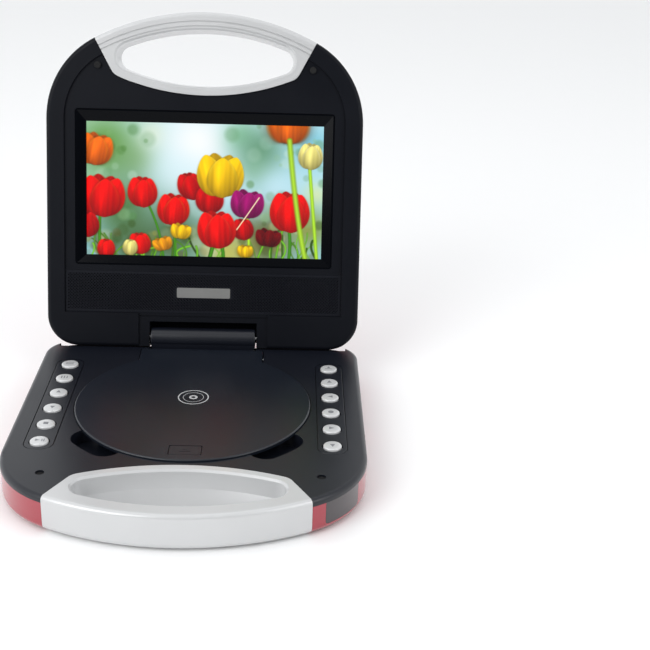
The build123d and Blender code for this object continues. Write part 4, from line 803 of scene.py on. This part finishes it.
class Painter:
    """Paints a spring garden on a grid, with the origin at the bottom left."""

    def __init__(self, columns, rows):
        across, up = np.linspace(0, FIELD_WIDTH, columns), np.linspace(0, FIELD_HEIGHT, rows)
        self.x, self.y = np.meshgrid(across, up)
        self.color = np.zeros((rows, columns, 3))
        self.chance = np.random.default_rng(SEED)

    def over(self, share, color):
        shade = np.broadcast_to(np.asarray(color, float), self.color.shape)
        self.color += (shade - self.color) * share[..., None]

    def glow(self, x, y, radius, color, strength):
        distance = np.hypot(self.x - x, self.y - y)
        self.over(strength * np.exp(-((distance / radius) ** 2)), color)

    def spot(self, x, y, radius, color, strength):
        """A blurred disc, as a point of light out of focus."""
        distance = np.hypot(self.x - x, self.y - y)
        self.over(strength * soft(radius - distance, radius * SPOT_SOFT), color)

    def stroke(self, points, width, color, blur):
        """A stem or blade along a quadratic curve of three points."""
        t = np.linspace(0, 1, STROKE_STEPS)[:, None]
        start, bend, end = (np.array(p, float) for p in points)
        path = (1 - t) ** 2 * start + 2 * t * (1 - t) * bend + t**2 * end
        nearest = np.full(self.x.shape, np.inf)
        for a, b in zip(path, path[1:]):
            along = b - a
            share = ((self.x - a[0]) * along[0] + (self.y - a[1]) * along[1]) / (along @ along)
            share = np.clip(share, 0, 1)
            gap = np.hypot(self.x - a[0] - share * along[0], self.y - a[1] - share * along[1])
            nearest = np.minimum(nearest, gap)
        shine = 1 + STROKE_SHINE * np.clip(1 - nearest / (width * 0.5), 0, 1)
        self.over(soft(width / 2 - nearest, blur), np.asarray(color) * shine[..., None])

    def petal(self, base, width, height, lean, color, edge, blur):
        """One petal: a blunt oval standing on its base, with a shadow about it and a lit middle."""
        angle = math.radians(lean)
        dx, dy = self.x - base[0], self.y - base[1]
        up = (dx * math.sin(angle) + dy * math.cos(angle)) / height
        side = (dx * math.cos(angle) - dy * math.sin(angle)) / (width / 2)
        share = np.clip(up, 0, 1)
        widest, blunt = PETAL_SWELL
        half = np.sin(np.pi * share**widest) ** blunt
        reach = (half - np.abs(side)) * width / 2
        ends = soft(up * height, blur) * soft((1 - up) * height, blur)
        shadow, dimmed = PETAL_SHADOW
        out, fade = (blurs * blur for blurs in PETAL_SHADOW_REACH)
        self.over(shadow * soft(reach + out, fade) * ends, np.asarray(color) * dimmed)
        across = np.abs(side) / np.maximum(half, 1e-3)
        waves = self.chance.uniform(*PETAL_VEINS, (3, 2))
        veins = sum(np.sin(side * rate + phase) for rate, phase in waves)
        place, spread = PETAL_RIDGE
        middle = np.exp(-(((side - place) / spread) ** 2)) * np.sin(np.pi * share)
        base_light, rise, fall, ridge, vein = PETAL_LIGHT
        light = base_light + rise * share - fall * across**2 + ridge * middle + vein * veins
        tone = np.asarray(color) * np.clip(light, 0, PETAL_LIGHT_MOST)[..., None]
        start, softness, climb, strength = PETAL_RIM
        rim = (soft(across - start, softness) * share**climb * strength)[..., None]
        self.over(soft(reach, blur) * ends, tone + (np.asarray(edge) - tone) * rim)

    def tulip(self, x, y, size, color, edge, lean, open_by, blur):
        """A tulip with its base at (x, y): two petals behind, three in front."""
        dark = tuple(BEHIND * channel for channel in color)
        for turn, height, width, aside, up, behind in PETALS:
            self.petal(
                (x + size * aside, y + size * up),
                size * width,
                size * height,
                lean + turn * open_by,
                dark if behind else color,
                edge,
                blur,
            )

    def background(self):
        self.color[:] = np.asarray(SKY_BASE) + np.asarray(SKY_RISE) * self.y[..., None]
        for glow in GLOWS:
            self.glow(*glow)
        left, right, bottom = SPOT_BRIGHT_AREA
        for _ in range(SPOT_COUNT):
            x = self.chance.uniform(0, FIELD_WIDTH)
            y = FIELD_HEIGHT * self.chance.uniform(0, 1) ** SPOT_CROWD
            if left < x < right and y > bottom:
                continue
            colors = EARTHY if y < SPOT_GROUND else LEAFY
            color = colors[self.chance.integers(len(colors))]
            radius, strength = self.chance.uniform(*SPOT_RADIUS), self.chance.uniform(*SPOT_STRENGTH)
            self.spot(x, y, radius, color, strength)

    def leaves(self):
        for _ in range(LEAF_COUNT):
            x, height = self.chance.uniform(0, FIELD_WIDTH), self.chance.uniform(*LEAF_HEIGHT)
            lean, bend = self.chance.uniform(-LEAF_LEAN, LEAF_LEAN, 2)
            tone = self.chance.uniform(*LEAF_TONE)
            color = tuple(channel * tone for channel in LEAF_COLOR)
            points = ((x, LEAF_ROOT), (x + bend, height * LEAF_BEND), (x + lean, height))
            self.stroke(points, self.chance.uniform(*LEAF_WIDTH), color, STEM_BLUR)


def paint_garden():
    """Colours from 0 to 1, row by row from the bottom."""
    garden = Painter(PICTURE_COLUMNS, PICTURE_ROWS)
    garden.background()
    garden.leaves()
    for *points, width, color in STEMS:
        garden.stroke(points, width, color, STEM_BLUR)
    for flower in FLOWERS:
        garden.tulip(*flower)
    for *points, width, color, blur in FRONT_STALKS:
        garden.stroke(points, width, color, blur)
    return np.clip(garden.color, 0, 1)


def make_picture():
    """The lit picture: a fine grid just in front of the glass, coloured point by point."""
    color = paint_garden()
    bm = bmesh.new()
    layer = bm.verts.layers.float_color.new("picture")
    grid = []
    for j in range(PICTURE_ROWS):
        s = LCD_S[0] + (LCD_S[1] - LCD_S[0]) * j / (PICTURE_ROWS - 1)
        row = []
        for i in range(PICTURE_COLUMNS):
            x = LCD_HALF_X * (2 * i / (PICTURE_COLUMNS - 1) - 1)
            vertex = bm.verts.new(LID.at(x, s, LCD_DEPTH - PICTURE_GAP))
            vertex[layer] = (*color[j, i] ** PICTURE_GAMMA, 1.0)
            row.append(vertex)
        grid.append(row)
    for low, high in zip(grid, grid[1:]):
        for i in range(PICTURE_COLUMNS - 1):
            bm.faces.new((low[i], low[i + 1], high[i + 1], high[i]))
    mesh = bpy.data.meshes.new("screen_picture")
    bm.to_mesh(mesh)
    bm.free()
    material, shade, shader = new_material("lit_picture")
    colors = shade.tree.nodes.new("ShaderNodeVertexColor")
    colors.layer_name = "picture"
    shade.tree.links.new(colors.outputs["Color"], shader.inputs["Emission Color"])
    shader.inputs["Emission Strength"].default_value = PICTURE_LIGHT
    shader.inputs["Base Color"].default_value = PICTURE_GLASS
    shader.inputs["Roughness"].default_value = PICTURE_ROUGH
    MATERIALS["picture"] = material
    new_piece("screen_picture", mesh, "lid", ["picture"])


# ---- printed marks -------------------------------------------------------------------------------

DISC_LID_TOP = -1.2
PRINT_LIFT = 0.03
PRINT_THICK = 0.02
DISC_MARK_CENTRE = (-0.5, 79.0)
DISC_MARK_RINGS = ((9.4, 8.7), (6.3, 6.0), (2.6, 1.3))  # outer and inner radius
DISC_MARK_SIDES = 64
TAB_TOP = DISC_LID_TOP + 0.1
TAB_MARK_RISE = 0.12
TAB_MARK_THICK = 0.2
TAB_ARROW = (0, 143.0, 1.6, -90)  # x, s, size and turn
TAB_BAR = (0, 145.6, 3.2, 0.35)  # x, s, half width and half height


def make_disc_mark():
    """A plain picture of a disc on the disc lid: a rim, a fine inner ring and a hub."""
    bm = bmesh.new()
    for outer, inner in DISC_MARK_RINGS:
        ring = ring_points(outer, DISC_MARK_SIDES, DISC_MARK_CENTRE)
        hole = ring_points(inner, DISC_MARK_SIDES, DISC_MARK_CENTRE)
        plate(bm, BASE, ring, DISC_LID_TOP - PRINT_LIFT, PRINT_THICK, holes=[hole])
    new_piece("disc_mark", to_mesh(bm, "disc_mark"), "disc_lid", ["light_print"])


def make_tab_mark():
    """A raised arrow and bar on the release tab."""
    bm = bmesh.new()
    for shape in (wedge(*TAB_ARROW), bar(*TAB_BAR)):
        plate(bm, BASE, shape, TAB_TOP - TAB_MARK_RISE, TAB_MARK_THICK)
    new_piece("tab_mark", to_mesh(bm, "tab_mark"), "open_tab", ["disc_black"])


# ---- assembly ------------------------------------------------------------------------------------

bpy.context.scene.view_settings.view_transform = "Standard"
make_camera()
make_world()
make_lights()
make_materials()
paint_nodes()
make_buttons()
make_grille()
make_picture()
make_disc_mark()
make_tab_mark()
make_floor()
